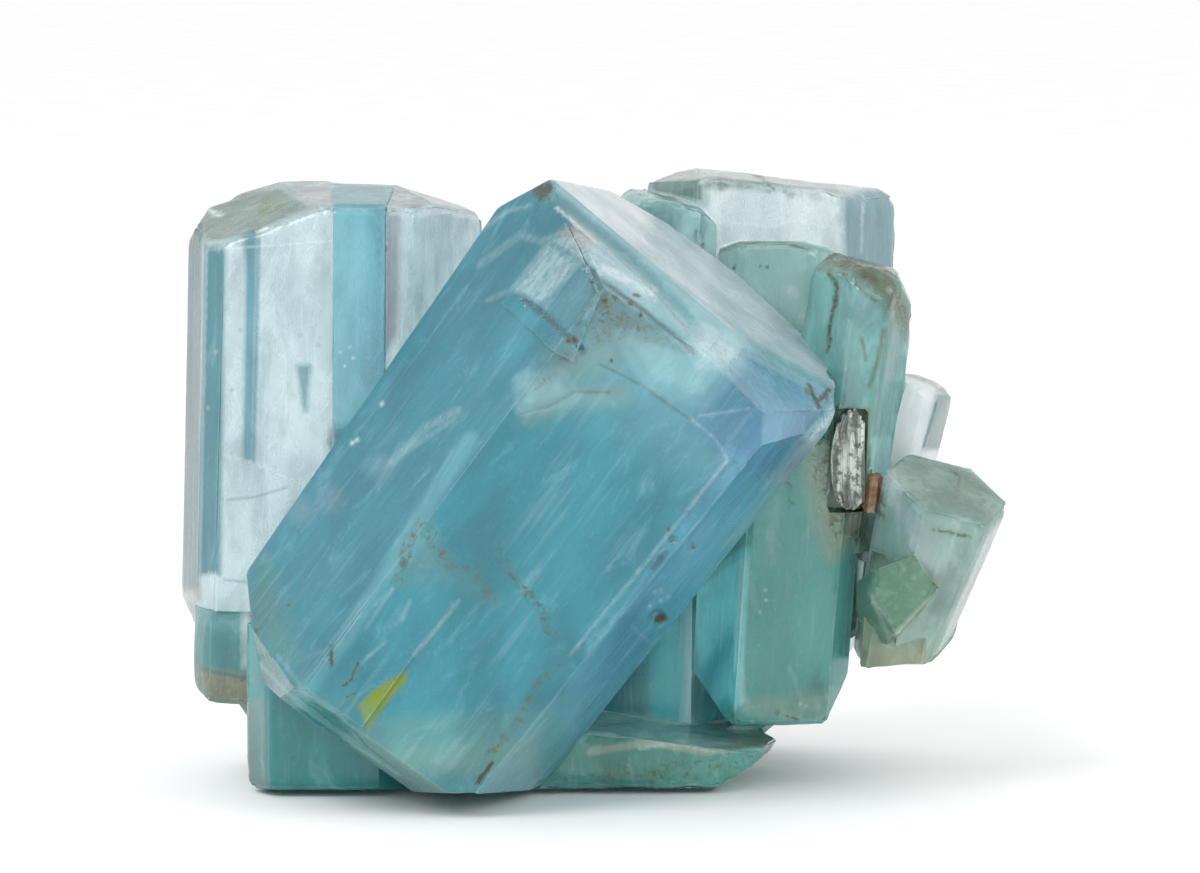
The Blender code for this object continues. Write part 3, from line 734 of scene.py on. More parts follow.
def edge_kinds(faces, cuts, count):
    """How far each point is on a ridge or in a seam, and whether dirt gathers there, between two crystals."""
    ridge, seam, dirt = (np.zeros(count) for _ in range(3))
    for edge, mine in zip(faces.edges, cuts):
        bend = edge.calc_face_angle_signed(0.0)
        kind = ridge if bend > 0 else seam
        kind[mine] = np.maximum(kind[mine], min(1.0, abs(bend) / 0.9))
        if bend <= 0 and len({owners[f.index] for f in edge.link_faces}) > 1:
            dirt[mine] = 1.0
    return ridge, seam, dirt


def low_hills(points, out, ridge, seam):
    """Gives the faces the broad low hills that they stopped growing in."""
    for i in np.flatnonzero((seam <= SEAM_LEAST) & (ridge == 0)):
        points[i] += out[i] * HILL * (wander(points[i], 6.0, 1) - 0.6)


def round_off(faces, points, triangles, home, seam):
    """Rolls the convex edges over to a radius, less and less towards the seams."""
    fixed = KDTree(int((seam > SEAM_LEAST).sum()) or 1)
    for i in np.flatnonzero(seam > SEAM_LEAST):
        fixed.insert(Vector(points[i]), int(i))
    fixed.balance()
    rest = points.copy()
    shift = np.zeros_like(points)
    crowd = np.zeros(len(points))
    members = [np.unique(triangles[home == number]) for number in range(len(faces.faces))]
    for edge in faces.edges:
        bend = edge.calc_face_angle_signed(0.0)
        if bend < 0.05:
            continue
        room = min(2 * f.calc_area() / f.calc_perimeter() for f in edge.link_faces)
        width = min(ROUND[NAMES[owners[f.index]]] for f in edge.link_faces) * math.tan(bend / 2)
        width = min(width, ROLL_SHARE * room)
        radius = width / math.tan(bend / 2)
        if width < 0.08:
            continue
        a, b = np.array(edge.verts[0].co), np.array(edge.verts[1].co)
        run = b - a
        middle = sum((np.array(f.normal) for f in edge.link_faces), np.zeros(3))
        middle /= np.linalg.norm(middle)
        corner_cut = middle * radius * (1.0 / math.cos(bend / 2) - 1.0)
        for f in edge.link_faces:
            mine = members[f.index]
            share = np.clip((rest[mine] - a) @ run / (run @ run), 0.0, 1.0)
            away = rest[mine] - a - share[:, None] * run
            gap = np.linalg.norm(away, axis=1)
            near = gap < width
            on_edge = gap < 1e-4
            turn = (1.0 - gap / width) * bend / 2
            down = radius * (1.0 - np.cos(turn))
            inward = np.maximum(width - radius * np.sin(turn) - gap, 0.0)
            move = away * (inward / np.maximum(gap, 1e-9))[:, None] - np.array(f.normal) * down[:, None]
            move[on_edge] = -0.5 * corner_cut
            shift[mine[near]] += move[near]
            crowd[mine[near]] += np.where(on_edge, 0.5, 1.0 - gap / width)[near]
        done = np.concatenate([members[f.index] for f in edge.link_faces])
        for vertex in edge.verts:
            # the faces across the edge's ends follow, or the corner would fold over them
            for f in set(vertex.link_faces) - set(edge.link_faces):
                mine = np.setdiff1d(members[f.index], done)
                done = np.concatenate([done, mine])
                away = np.linalg.norm(rest[mine] - np.array(vertex.co), axis=1)
                nearness = np.clip(1.0 - away / width, 0.0, 1.0)
                shift[mine] -= nearness[:, None] ** 1.5 * corner_cut
                crowd[mine] += nearness
    shift /= (1.0 + CROWDING * np.maximum(crowd - 1.0, 0.0))[:, None]
    for i in np.flatnonzero(np.abs(shift).sum(1) > 0):
        _, _, gap = fixed.find(Vector(rest[i]))
        size = np.linalg.norm(shift[i])
        chip = 1.0 + 0.25 * wander(rest[i], 4.0, 21) + CHIP * max(0.0, wander(rest[i], 2.2, 3) - 0.25)
        limit = min(size * chip, ROLL_MOST, 0.4 * (gap or 9.0))
        points[i] += shift[i] * limit / max(size, 1e-9)


def roughen(points, out, seam, point_owner):
    """Bites into the broken and etched crystals."""
    for name, (bite, height, sense) in RUGGED.items():
        axes, foot, _ = axes_of(name)
        for i in np.flatnonzero((point_owner == NAMES.index(name)) & (seam < SEAM_LEAST)):
            along = axes[2] @ (points[i] - foot)
            share = min(1.0, max(0.0, (along - height) * sense / 2.5))
            depth = 0.5 + 0.5 * wander(points[i], 3.0, 11) + 0.35 * wander(points[i], 1.2, 13)
            points[i] -= out[i] * share * bite * max(0.0, depth)


def press_marks(points, out, seam, point_owner):
    """Presses the marks that have a depth into the faces that the eye sees."""
    here = on_sheet(points)
    free = (((points - eye) * out).sum(1) < 0) & (seam < SEAM_LEAST)
    for names, what, amount, form, soft, places in MARKS:
        if what == "press":
            mine = np.flatnonzero(np.isin(point_owner, [NAMES.index(n) for n in names]) & free)
            points[mine] -= out[mine] * (brush(what, form, soft, places, here[mine]) * amount)[:, None]


out = outward(cluster, triangles, home, len(points))
ridge, seam, dirt = edge_kinds(cluster, cuts, len(points))
low_hills(points, out, ridge, seam)
round_off(cluster, points, triangles, home, seam)
point_owner = np.zeros(len(points), int)
point_owner[triangles.reshape(-1)] = np.repeat(np.array(owners)[home], 3)
press_marks(points, out, seam, point_owner)
roughen(points, out, seam, point_owner)
points[:, 2] = np.maximum(points[:, 2], 0.0)
print("ridge points:", int((ridge > 0).sum()), "seam points:", int((seam > 0).sum()))

# %% [markdown]
# ## Colour grown into the crystals, and painted light and shade
# In the real piece the colour sits in the beryl: the big prism is an even sea blue, cloudier and paler
# near its tip, and the left plate is almost colourless with blue bands along its length, painted also to
# stand for the internal reflections seen through it. Light and shade are painted into the tints too. An
# image would slide over the faces, so each face corner gets its own values instead: a tint, how clear the
# beryl is there, how much iron stain and how much white frosting and painted highlight it has, and its
# place in the crystal's own frame, which the material's noises read.

# %% Tints, given as sRGB
TINTS = {
    # crystal: (red, green, blue, clearness)
    "main": (44, 140, 155, 0.30),
    "left": (222, 237, 239, 0.86),
    "column": (112, 186, 200, 0.60),
    "heel": (80, 150, 152, 0.42),
    "left_root": (84, 150, 152, 0.42),
    "corner": (70, 158, 158, 0.35),
    "back": (240, 247, 247, 0.82),
    "shaded": (142, 186, 176, 0.52),
    "knob": (162, 206, 202, 0.58),
    "stained": (126, 186, 180, 0.50),
    "stained_step": (140, 200, 194, 0.52),
    "small_clear": (255, 255, 255, 0.22),
    "tilted": (166, 196, 186, 0.46),
    "bud": (104, 146, 118, 0.42),
    "right_root": (148, 172, 146, 0.46),
    "green": (64, 140, 128, 0.38),
    "inner": (58, 156, 160, 0.38),
    "broken": (76, 150, 136, 0.34),
    "rear": (170, 212, 216, 0.60),
    "rear_left": (180, 216, 220, 0.65),
    "rear_right": (182, 218, 216, 0.65),
    "rear_low": (176, 208, 196, 0.60),
}


def linear(colour):
    """Linear light from sRGB values of 0 to 255."""
    share = np.array(colour, float) / 255.0
    return np.where(share <= 0.04045, share / 12.92, ((share + 0.055) / 1.055) ** 2.4)


corner = points[triangles.reshape(-1)]
corner_owner = np.repeat(np.array(owners)[home], 3)
normals = np.array([f.normal[:] for f in cluster.faces])
facing = np.repeat(normals[home], 3, axis=0)
grown = np.zeros_like(corner)
look = np.zeros_like(corner)
for number, name in enumerate(NAMES):
    mine = corner_owner == number
    axes, foot, height = axes_of(name)
    grown[mine] = (corner[mine] - foot) @ axes.T
    look[mine] = facing[mine] @ axes.T
tint = np.array([linear(TINTS[NAMES[k]][:3]) for k in range(len(NAMES))])[corner_owner]
clear = np.array([TINTS[NAMES[k]][3] for k in range(len(NAMES))])[corner_owner]
stain = np.zeros(len(corner))
frost_and_highlight = np.zeros(len(corner))
print("face corners:", len(corner))

# %% Wear in the ridges, dirt in the seams, and painted light, shade and reflection on the big prism and a ledge
flat_corner = triangles.reshape(-1)
sheet_place = on_sheet(corner)
seen = (facing * (corner - eye)).sum(1) < 0
NOOK_ROOM = 0.45
frost_and_highlight = np.maximum(frost_and_highlight, 0.22 * ridge[flat_corner])
stain = np.maximum(stain, 0.30 * (seam * dirt)[flat_corner])


def lay(colour, amount, mine=slice(None)):
    """Mixes a tint into these corners by this amount."""
    amount = np.clip(amount, 0.0, 1.0)[:, None]
    tint[mine] = tint[mine] * (1.0 - amount) + linear(colour) * amount


low, high = (np.array(end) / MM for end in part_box("mica_flake"))
nook = ((corner > low - NOOK_ROOM) & (corner < high + NOOK_ROOM)).all(1)
lay((104, 124, 88), 0.9 * nook)
clear = np.where(nook, 0.1, clear)
# painted light: the broken crystal's top ledge laid pale, lifting the shade under the green crystal
ledge = (corner_owner == NAMES.index("broken")) & (facing[:, 2] > 0.8)
lay((176, 222, 212), 0.85 * ledge)
main = corner_owner == NAMES.index("main")
front = main & (look[:, 1] < -0.95)
tip_end = main & (look[:, 2] > 0.95)
root_end = main & (look[:, 2] < -0.3)
# painted shade on the big prism's left faces, and painted light on its right faces
lay((46, 132, 150), 0.55 * (main & (look[:, 0] < -0.6)))
lay((124, 190, 210), 0.5 * (main & (look[:, 0] > 0.5) & (np.abs(look[:, 2]) < 0.3)))
# painted reflection: the end face laid almost white, as if mirroring the bright air; painted light: its ledge
# facets paler, as they face up
lay((214, 225, 230), 0.92 * (main & (look[:, 2] > 0.995)))
lay((146, 192, 196), 0.8 * (tip_end & (look[:, 2] <= 0.995)))
lay((6, 104, 108), 0.9 * root_end)
clear = np.where(root_end, 0.06, clear)
lay((160, 206, 214), 0.35 * front * smooth(grown[:, 2], 40.0, 54.0))
print("corners of the big prism:", int(main.sum()))

# %% Lay the marks
for names, what, amount, form, soft, places in MARKS:
    mine = np.flatnonzero(np.isin(corner_owner, [NAMES.index(n) for n in names]) & seen)
    share = brush(what, form, soft, places, sheet_place[mine])
    if what == "stain":
        stain[mine] = np.maximum(stain[mine], share * amount)
    elif what == "frost_and_highlight":
        frost_and_highlight[mine] = np.maximum(frost_and_highlight[mine], share * amount)
    elif what == "clear":
        clear[mine] = clear[mine] * (1.0 - share) + share * amount
    elif what != "press":
        lay(what, share * amount, mine)
print("marks laid:", len(MARKS), "mean frost:", frost_and_highlight.mean().round(3), "mean stain:", stain.mean().round(3))

# %% The cluster's mesh with its attributes
def put_in_scene(name, data):
    """A new object that holds this mesh, light or camera."""
    piece = bpy.data.objects.new(name, data)
    bpy.context.scene.collection.objects.link(piece)
    return piece


def store(mesh, name, kind, values, domain="CORNER"):
    layer = mesh.attributes.new(name, kind, domain)
    key = {"FLOAT": "value", "FLOAT_VECTOR": "vector", "FLOAT_COLOR": "color"}[kind]
    layer.data.foreach_set(key, np.ascontiguousarray(values, dtype=np.float32).reshape(-1))


def make_cluster():
    mesh = bpy.data.meshes.new("aquamarine_crystals")
    mesh.from_pydata((points * MM).tolist(), [], triangles.tolist())
    mesh.update()
    store(mesh, "tint", "FLOAT_COLOR", np.concatenate([tint, np.ones((len(tint), 1))], axis=1))
    for name, values in (("clear", clear), ("stain", stain), ("frost_and_highlight", frost_and_highlight)):
        store(mesh, name, "FLOAT", values)
    store(mesh, "grown", "FLOAT_VECTOR", grown)
    by_point = np.zeros_like(points)
    by_point[flat_corner] = grown
    store(mesh, "grown_point", "FLOAT_VECTOR", by_point, "POINT")
    return put_in_scene("aquamarine_crystals", mesh)


crystals = make_cluster()
print("cluster polygons:", len(crystals.data.polygons))

# %% [markdown]
# ## A helper for node trees
# Materials and Geometry Nodes are both trees of nodes, and a script that builds one mostly adds a node,
# sets its inputs and joins it to the last. One small class does that for both, so that each tree below
# reads as a list.

# %% Adding and joining nodes
BUMP_DEPTH = 0.0002


class Graph:
    """Adds nodes to a tree and joins them. An input is a plain value or another node's output."""

    def __init__(self, tree):
        self.tree = tree
        tree.nodes.clear()

    def put(self, value, socket):
        if isinstance(value, bpy.types.NodeSocket):
            self.tree.links.new(value, socket)
        else:
            socket.default_value = value

    def add(self, kind, inputs=None, **settings):
        node = self.tree.nodes.new(kind)
        for key, value in settings.items():
            setattr(node, key, value)
        for key, value in (inputs or {}).items():
            self.put(value, node.inputs[key])
        return node

    def attribute(self, name, output="Fac"):
        return self.add("ShaderNodeAttribute", attribute_name=name).outputs[output]

    def place(self):
        return self.add("ShaderNodeTexCoord").outputs["Object"]

    def maths(self, operation, a, b=0.0, clamp=False):
        return self.add("ShaderNodeMath", {0: a, 1: b}, operation=operation, use_clamp=clamp).outputs[0]

    def noise(self, place, scale, detail=3.0, rough=0.5, stretch=(1, 1, 1), twist=0.0):
        mapping = self.add("ShaderNodeMapping", {"Vector": place, "Scale": stretch})
        inputs = {"Vector": mapping.outputs[0], "Scale": scale, "Detail": detail, "Roughness": rough}
        return self.add("ShaderNodeTexNoise", {**inputs, "Distortion": twist}).outputs["Fac"]

    def ramp(self, value, low, high, out_low=0.0, out_high=1.0):
        inputs = {"Value": value, "From Min": low, "From Max": high, "To Min": out_low, "To Max": out_high}
        return self.add("ShaderNodeMapRange", inputs, interpolation_type="SMOOTHSTEP").outputs["Result"]

    def mix(self, share, a, b, blend="MIX"):
        node = self.add("ShaderNodeMix", {"Factor": share, 6: a, 7: b}, data_type="RGBA", blend_type=blend)
        return node.outputs[2]

    def bump(self, height, strength):
        inputs = {"Strength": strength, "Distance": BUMP_DEPTH, "Height": height}
        return self.add("ShaderNodeBump", inputs).outputs[0]

    def surface(self, inputs):
        """One Principled shader on the surface, and the output node, which is returned."""
        shader = self.add("ShaderNodeBsdfPrincipled", inputs)
        return self.add("ShaderNodeOutputMaterial", {"Surface": shader.outputs[0]})


def new_material(name):
    material = bpy.data.materials.new(name)
    material.use_nodes = True
    return material, Graph(material.node_tree)


def colour(*srgb):
    return (*linear(srgb), 1.0)


print("bump depth, mm:", BUMP_DEPTH / MM)

# %% [markdown]
# ## The beryl
# Beryl bends light by 1.58 and takes red out of it over a few centimetres, so the inside is a plain
# absorbing volume. The surface is one shader for all the crystals: where the beryl is cloudy it gives
# light back from its own tint, and where it is clear it lets light through.

# %% The beryl material
BERYL_IOR = 1.58
ABSORBED = (0.10, 0.66, 0.78, 1.0)
ABSORPTION = 12.0


def clouded(g, place, wisps, grain, streaks):
    """The crystal's own tint, with milky clouds, wisps and fine streaks of growth in it."""
    cloud = g.noise(place, 0.16, 4.0, 0.55, (1, 1, 0.5), 0.4)
    tone = g.mix(g.ramp(cloud, 0.3, 0.7), colour(214, 224, 228), colour(255, 255, 255))
    own = g.mix(1.0, g.attribute("tint", "Color"), tone, "MULTIPLY")
    own = g.mix(g.ramp(wisps, 0.52, 0.75, 0.0, 0.18), own, colour(186, 216, 222))
    own = g.mix(g.ramp(streaks, 0.55, 0.75, 0.0, 0.12), own, colour(190, 220, 226))
    return g.mix(g.ramp(grain, 0.55, 0.8, 0.0, 0.12), own, colour(205, 226, 230))


def iron_stain(g, place):
    """How much rust covers the surface, in specks that thicken with the stain, and the rust's colour."""
    stained = g.attribute("stain")
    spots = g.ramp(g.noise(place, 1.7, 5.0, 0.7, twist=0.6), 0.25, 0.75, -0.55, 0.55)
    rust = g.ramp(g.maths("ADD", stained, spots), 0.25, 0.9)
    rust = g.maths("MULTIPLY", rust, g.ramp(stained, 0.02, 0.2))
    iron = g.mix(g.noise(place, 0.9, 3.0), colour(56, 62, 28), colour(92, 88, 48))
    return rust, g.mix(g.ramp(stained, 0.6, 1.0), iron, colour(56, 44, 12))


def beryl_material():
    material, g = new_material("beryl")
    place = g.attribute("grown", "Vector")
    wisps = g.noise(place, 0.45, 6.0, 0.7, (1, 1, 0.35), 0.8)
    streaks = g.noise(place, 1.3, 3.0, 0.6, (1, 1, 0.06))
    grain = g.noise(place, 2.6, 4.0, 0.65)
    patches = g.ramp(g.noise(place, 1.6, 5.0, 0.7, (1, 1, 0.5)), 0.3, 0.62, 0.35, 1.0)
    frost_and_highlight = g.maths("MULTIPLY", g.maths("MULTIPLY", g.attribute("frost_and_highlight"), patches), 0.75, True)
    own = g.mix(frost_and_highlight, clouded(g, place, wisps, grain, streaks), colour(216, 228, 230))
    rust, iron = iron_stain(g, place)
    own = g.mix(g.maths("MULTIPLY", rust, 0.85), own, iron)
    veil = g.maths("SUBTRACT", 1.0, g.maths("MAXIMUM", rust, g.maths("MULTIPLY", frost_and_highlight, 0.9)), True)
    veil = g.maths("MULTIPLY", veil, g.ramp(wisps, 0.42, 0.68, 1.0, 0.6))
    gloss = g.maths("ADD", g.ramp(grain, 0.3, 0.8, 0.10, 0.26), g.maths("MULTIPLY", rust, 0.35))
    height = g.maths("ADD", g.maths("MULTIPLY", streaks, 0.8), g.maths("MULTIPLY", grain, 0.35))
    end = g.surface({
        "Base Color": own,
        "Transmission Weight": g.maths("MULTIPLY", g.attribute("clear"), veil),
        "Roughness": g.maths("ADD", gloss, g.maths("MULTIPLY", frost_and_highlight, 0.25)),
        "IOR": BERYL_IOR,
        "Normal": g.bump(height, 0.3),
    })
    inside = g.add("ShaderNodeVolumeAbsorption", {"Color": ABSORBED, "Density": ABSORPTION})
    g.put(inside.outputs[0], end.inputs["Volume"])
    return material


BERYL = beryl_material()
print("material:", BERYL.name, len(BERYL.node_tree.nodes), "nodes")

# %% [markdown]
# ## Lines grown along each crystal
# Beryl's side faces carry fine ridges along the length, and its faces are etched. The ridges follow one
# rule all over the cluster, so Geometry Nodes make them: a noise that is stretched along each crystal's
# own axis moves the points in and out by a few hundredths of a millimetre. The tree's inputs are its
# sizes and a seed.

# %% A tree that ridges a crystal's faces
SHARP_ABOVE = 16.0


def new_tree(name, inputs):
    """A tree with these named inputs and a material: its graph, and the outputs that give the inputs."""
    tree = bpy.data.node_groups.new(name, "GeometryNodeTree")
    geometry, material = ("Geometry", "NodeSocketGeometry", None), ("Material", "NodeSocketMaterial", None)
    for label, kind, value in [geometry, *inputs, material]:
        made = tree.interface.new_socket(label, in_out="INPUT", socket_type=kind)
        if value is not None:
            made.default_value = value
    tree.interface.new_socket("Geometry", in_out="OUTPUT", socket_type="NodeSocketGeometry")
    g = Graph(tree)
    return g, g.add("NodeGroupInput").outputs


def finish_tree(g, given, geometry):
    """Every tree ends in real geometry with the material set."""
    real = g.add("GeometryNodeRealizeInstances", {0: geometry})
    painted = g.add("GeometryNodeSetMaterial", {"Geometry": real.outputs[0], "Material": given["Material"]})
    g.add("NodeGroupOutput", {"Geometry": painted.outputs[0]})
    return g.tree


def ridge_tree():
    g, given = new_tree("grown_ridges", [
        ("Height", "NodeSocketFloat", 0.00004),
        ("Ridges per mm", "NodeSocketFloat", 0.9),
        ("Stretch", "NodeSocketFloat", 0.05),
        ("Seed", "NodeSocketInt", 7),
    ])
    place = g.add("GeometryNodeInputNamedAttribute", {"Name": "grown_point"}, data_type="FLOAT_VECTOR")
    squeeze = g.add("ShaderNodeCombineXYZ", {0: 1.0, 1: 1.0, 2: given["Stretch"]})
    along = g.add("ShaderNodeVectorMath", {0: place.outputs[0], 1: squeeze.outputs[0]}, operation="MULTIPLY")
    size = {"W": given["Seed"], "Scale": given["Ridges per mm"], "Detail": 2.0}
    waves = g.add("ShaderNodeTexNoise", {"Vector": along.outputs[0], **size}, noise_dimensions="4D")
    height = g.maths("MULTIPLY", g.maths("SUBTRACT", waves.outputs[0], 0.5), given["Height"])
    face = g.add("GeometryNodeInputNormal")
    push = g.add("ShaderNodeVectorMath", {0: face.outputs[0], "Scale": height}, operation="SCALE")
    move = g.add("GeometryNodeSetPosition", {"Geometry": given["Geometry"], "Offset": push.outputs[0]})
    return finish_tree(g, given, move.outputs[0])


def socket_of(tree, name):
    """The identifier of a tree's input, which a modifier's input is set by."""
    return next(i.identifier for i in tree.interface.items_tree if i.name == name and i.in_out == "INPUT")


def run_tree(piece, tree, **settings):
    """Runs a tree on a piece and keeps the result as its plain mesh."""
    step = piece.modifiers.new(tree.name, "NODES")
    step.node_group = tree
    for label, value in settings.items():
        step[socket_of(tree, label.replace("_", " "))] = value
    graph = bpy.context.evaluated_depsgraph_get()
    shaped = piece.evaluated_get(graph)
    made = bpy.data.meshes.new_from_object(shaped, preserve_all_data_layers=True, depsgraph=graph)
    piece.modifiers.clear()
    made.name = piece.data.name
    piece.data = made


run_tree(crystals, ridge_tree(), Height=0.00006, Ridges_per_mm=0.8, Seed=7, Material=BERYL)
for v in crystals.data.vertices:
    v.co.z = max(v.co.z, 0.0)
crystals.data.shade_smooth()
crystals.data.set_sharp_from_angle(angle=math.radians(SHARP_ABOVE))
print("ridged points:", len(crystals.data.vertices), "materials:", [m.name for m in crystals.data.materials])

# %% [markdown]
# ## The mica flake
# Mica splits into thin sheets, and a flake of it is a little book of them. The sheets repeat, so a second
# tree lays copies of one ragged sheet in a row, each turned and sized a little differently. Then the book
# is bowed and its ends are drawn in, as worn mica's are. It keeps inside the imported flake, which the
# beryl grew round.

# %% One ragged sheet
MICA_LOW, MICA_HIGH = (np.array(end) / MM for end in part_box("mica_flake"))
MICA_MIDDLE, MICA_SIZE = (MICA_LOW + MICA_HIGH) / 2, MICA_HIGH - MICA_LOW
SHEET_THICK = 0.42
SHEET_SEED = 4.0
RIM_STEPS = 40


def ragged_sheet(name, deep, tall, thick):
    """A thin closed sheet across X, with a chipped outline."""
    sheet = bmesh.new()
    rim = []
    for i in range(RIM_STEPS):
        turn = 2 * math.pi * i / RIM_STEPS
        y, z = math.cos(turn), math.sin(turn)
        square = max(abs(y), abs(z))
        chip = 1.0 - 0.10 * abs(noise.noise(Vector((y * 3.0, z * 3.0, SHEET_SEED)))) - 0.05 * (i % 3)
        rim.append((y / square * chip * deep / 2, z / square * chip * tall / 2))
    sides = [[sheet.verts.new((x * thick / 2 * MM, y * MM, z * MM)) for y, z in rim] for x in (-1, 1)]
    sheet.faces.new(sides[0][::-1])
    sheet.faces.new(sides[1])
    for i in range(RIM_STEPS):
        j = (i + 1) % RIM_STEPS
        sheet.faces.new((sides[0][i], sides[0][j], sides[1][j], sides[1][i]))
    bmesh.ops.recalc_face_normals(sheet, faces=sheet.faces)
    mesh = bpy.data.meshes.new(name)
    sheet.to_mesh(mesh)
    return put_in_scene(name, mesh)


mica = ragged_sheet("mica_book", MICA_SIZE[1] * 0.94, MICA_SIZE[2] * 1.04, SHEET_THICK)
print("mica flake, mm:", MICA_SIZE.round(2))

# %% A book of sheets
SHEETS = 11
MICA_BOW = -0.25


def book_tree():
    g, given = new_tree("mica_book", [
        ("Sheets", "NodeSocketInt", 12),
        ("Width", "NodeSocketFloat", 0.003),
        ("Turn", "NodeSocketFloat", 0.06),
        ("Slip", "NodeSocketFloat", 0.0003),
        ("Seed", "NodeSocketInt", 3),
    ])

    def aside(distance):
        return g.add("ShaderNodeCombineXYZ", {0: distance}).outputs[0]

    def span(name, shares):
        return g.add("ShaderNodeVectorMath", {0: shares, "Scale": given[name]}, operation="SCALE").outputs[0]

    def chance(least, most):
        inputs = {0: least, 1: most, "Seed": given["Seed"]}
        return g.add("FunctionNodeRandomValue", inputs, data_type="FLOAT_VECTOR").outputs[0]

    row = g.add("GeometryNodeMeshLine", {
        "Count": given["Sheets"],
        "Start Location": aside(g.maths("MULTIPLY", given["Width"], -0.5)),
        "Offset": aside(g.maths("DIVIDE", given["Width"], g.maths("SUBTRACT", given["Sheets"], 1))),
    })
    slip = chance(span("Slip", (0.0, -1.0, -1.0)), span("Slip", (0.0, 1.0, 1.0)))
    shift = g.add("GeometryNodeSetPosition", {"Geometry": row.outputs[0], "Offset": slip})
    put = g.add("GeometryNodeInstanceOnPoints", {
        "Points": shift.outputs[0],
        "Instance": given["Geometry"],
        "Rotation": chance(span("Turn", (-1.0, -0.4, -1.0)), span("Turn", (1.0, 0.4, 1.0))),
        "Scale": chance((0.8, 0.82, 0.84), (1.0, 1.0, 1.0)),
    })
    return finish_tree(g, given, put.outputs[0])


def mica_material():
    """Silver where the sheets' edges catch the light, grey between them, and dark flecks."""
    material, g = new_material("mica")
    sheets = g.noise(g.place(), 1400.0, 3.0, 0.6, (1, 0.3, 0.12))
    flecks = g.noise(g.place(), 1500.0, 4.0, 0.7)
    silver = g.mix(g.ramp(sheets, 0.38, 0.62), colour(92, 100, 92), colour(214, 220, 214))
    g.surface({
        "Base Color": g.mix(g.ramp(flecks, 0.5, 0.6, 0.0, 0.8), silver, colour(66, 70, 56)),
        "Roughness": g.ramp(flecks, 0.3, 0.7, 0.18, 0.5),
        "Specular IOR Level": 0.8,
        "Normal": g.bump(flecks, 0.6),
    })
    return material


def bow_and_taper(mesh):
    """Bows the book and draws its ends in, the lower one more suddenly."""
    for v in mesh.vertices:
        across, along = v.co.x / (MICA_SIZE[0] * MM / 2), v.co.z / (MICA_SIZE[2] * MM / 2)
        upper, lower = max(along, 0.0), max(-along, 0.0)
        v.co.z *= 1.0 - 0.12 * across**2
        v.co.x *= 1.0 - 0.22 * upper**2 - 0.3 * lower**4
        v.co.x += MICA_BOW * MM * (0.5 - along**2) + (0.26 * upper**2 + 0.12 * lower**4) * MM


MICA = mica_material()
width = (MICA_SIZE[0] - SHEET_THICK) * MM
run_tree(mica, book_tree(), Sheets=SHEETS, Width=width, Turn=0.05, Slip=0.00022, Seed=3, Material=MICA)
bow_and_taper(mica.data)
mica.data.transform(Matrix.Translation(Vector(MICA_MIDDLE * MM)))
print("mica faces:", len(mica.data.polygons))

# %% [markdown]
# ## The rusty grain
# Beside the mica sits a crumb of weathered feldspar. It is one broken lump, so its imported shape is
# refined and roughened with noise along its normals, and its material mixes ochre with darker rust.

# %% A weathered crumb
CRUMB_ROUNDS = 3
CRUMB_ROUGH = 0.00016


def crumb(node, name):
    lump = bmesh.new()
    lump.from_mesh(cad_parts[node].data)
    bmesh.ops.remove_doubles(lump, verts=lump.verts, dist=1e-6)
    for _ in range(CRUMB_ROUNDS):
        bmesh.ops.subdivide_edges(lump, edges=lump.edges, cuts=1, use_grid_fill=True)
        bmesh.ops.triangulate(lump, faces=lump.faces)
    every_way = {"use_axis_x": True, "use_axis_y": True, "use_axis_z": True}
    bmesh.ops.smooth_vert(lump, verts=lump.verts, factor=0.5, **every_way)
    lump.normal_update()
    for v in lump.verts:
        bite = 0.5 + 0.5 * noise.noise(v.co * 1100.0) + 0.3 * noise.noise(v.co * 3000.0)
        v.co -= v.normal * bite * CRUMB_ROUGH
    bmesh.ops.recalc_face_normals(lump, faces=lump.faces)
    mesh = bpy.data.meshes.new(name)
    lump.to_mesh(mesh)
    return put_in_scene(name, mesh)


def feldspar_material():
    """Ochre patches with darker rust between the grains."""
    material, g = new_material("feldspar")
    patches = g.noise(g.place(), 700.0, 4.0, 0.6)
    grains = g.noise(g.place(), 2600.0, 3.0, 0.6)
    ochre = g.mix(g.ramp(patches, 0.35, 0.65), colour(128, 92, 60), colour(180, 150, 120))
    g.surface({
        "Base Color": g.mix(g.ramp(grains, 0.5, 0.7, 0.0, 0.6), ochre, colour(96, 66, 42)),
        "Roughness": g.ramp(grains, 0.3, 0.7, 0.55, 0.85),
        "Normal": g.bump(grains, 0.7),
    })
    return material


feldspar = crumb("feldspar_grain", "feldspar_crumb")
feldspar.data.materials.append(feldspar_material())
print("crumb faces:", len(feldspar.data.polygons))

# %% [markdown]
# ## A pale table in soft light
# The floor and the air are almost white, as for a catalogue picture. One broad light above the left
# shoulder and a weaker one at the right show the faces' slopes without hard shadows. The camera stands
# six degrees above the table's level and well back, so that the prism's edges stay nearly parallel.

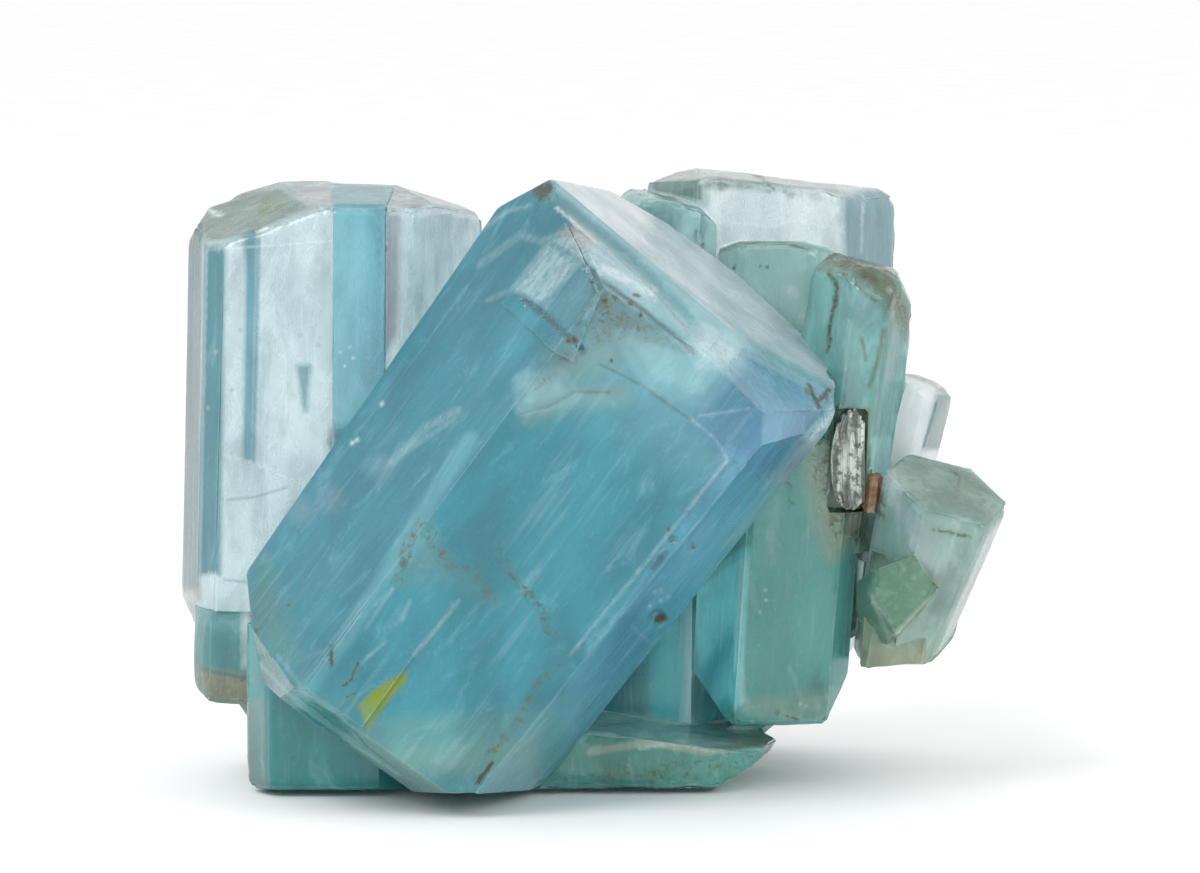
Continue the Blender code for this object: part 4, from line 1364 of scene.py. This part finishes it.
# %% Table, light and camera
TABLE_HALF = 4.0
AIR = 1.04
LIT_POINT = (0, 0, 0.03)
LIGHTS = {
    # name: (place, power)
    "key": ((-0.35, -0.45, 0.6), 2.2),
    "fill": ((0.5, -0.4, 0.35), 0.7),
}
LIGHT_WIDTH = 0.4


def make_table():
    mesh = bpy.data.meshes.new("table")
    corners = [(x * TABLE_HALF, y * TABLE_HALF, 0.0) for x, y in ((-1, -1), (1, -1), (1, 1), (-1, 1))]
    mesh.from_pydata(corners, [], [(0, 1, 2, 3)])
    paper, g = new_material("table_paper")
    spot = g.ramp(g.noise(g.place(), 60.0, 3.0), 0.3, 0.7)
    white = g.mix(spot, colour(247, 247, 247), colour(250, 250, 250))
    g.surface({"Base Color": white, "Roughness": 0.9, "Specular IOR Level": 0.1})
    mesh.materials.append(paper)
    return put_in_scene("table", mesh)


def light_scene():
    world = bpy.data.worlds.new("pale_air")
    world.use_nodes = True
    air = world.node_tree.nodes["Background"]
    air.inputs["Color"].default_value = (1.0, 1.0, 1.0, 1.0)
    air.inputs["Strength"].default_value = AIR
    bpy.context.scene.world = world
    for name, (place, power) in LIGHTS.items():
        light = bpy.data.lights.new(name, "AREA")
        light.shape, light.size, light.energy = "DISK", LIGHT_WIDTH, power
        lamp = put_in_scene(name, light)
        lamp.location = place
        lamp.rotation_euler = (Vector(LIT_POINT) - Vector(place)).to_track_quat("-Z", "Y").to_euler()
    bpy.context.scene.view_settings.view_transform = "Standard"


def add_camera():
    lens = bpy.data.cameras.new("eye")
    lens.lens, lens.sensor_width = LENS, SENSOR
    lens.clip_start, lens.clip_end = 0.01, 20.0
    camera = put_in_scene("eye", lens)
    camera.location = EYE
    camera.rotation_euler = (math.radians(EYE_TILT), 0.0, 0.0)
    bpy.context.scene.camera = camera


table = make_table()
light_scene()
add_camera()
print("camera at", EYE)

# %% [markdown]
# ## Attaching the pieces
# Each finished piece moves with the root body, and the imported part that it stands for is hidden.

# %% Attach the pieces
for piece, slot, node in (
    (crystals, "aquamarine", "aquamarine_cluster"),
    (mica, "mica", "mica_flake"),
    (feldspar, "feldspar", "feldspar_grain"),
):
    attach(piece, "root")
    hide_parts(node)
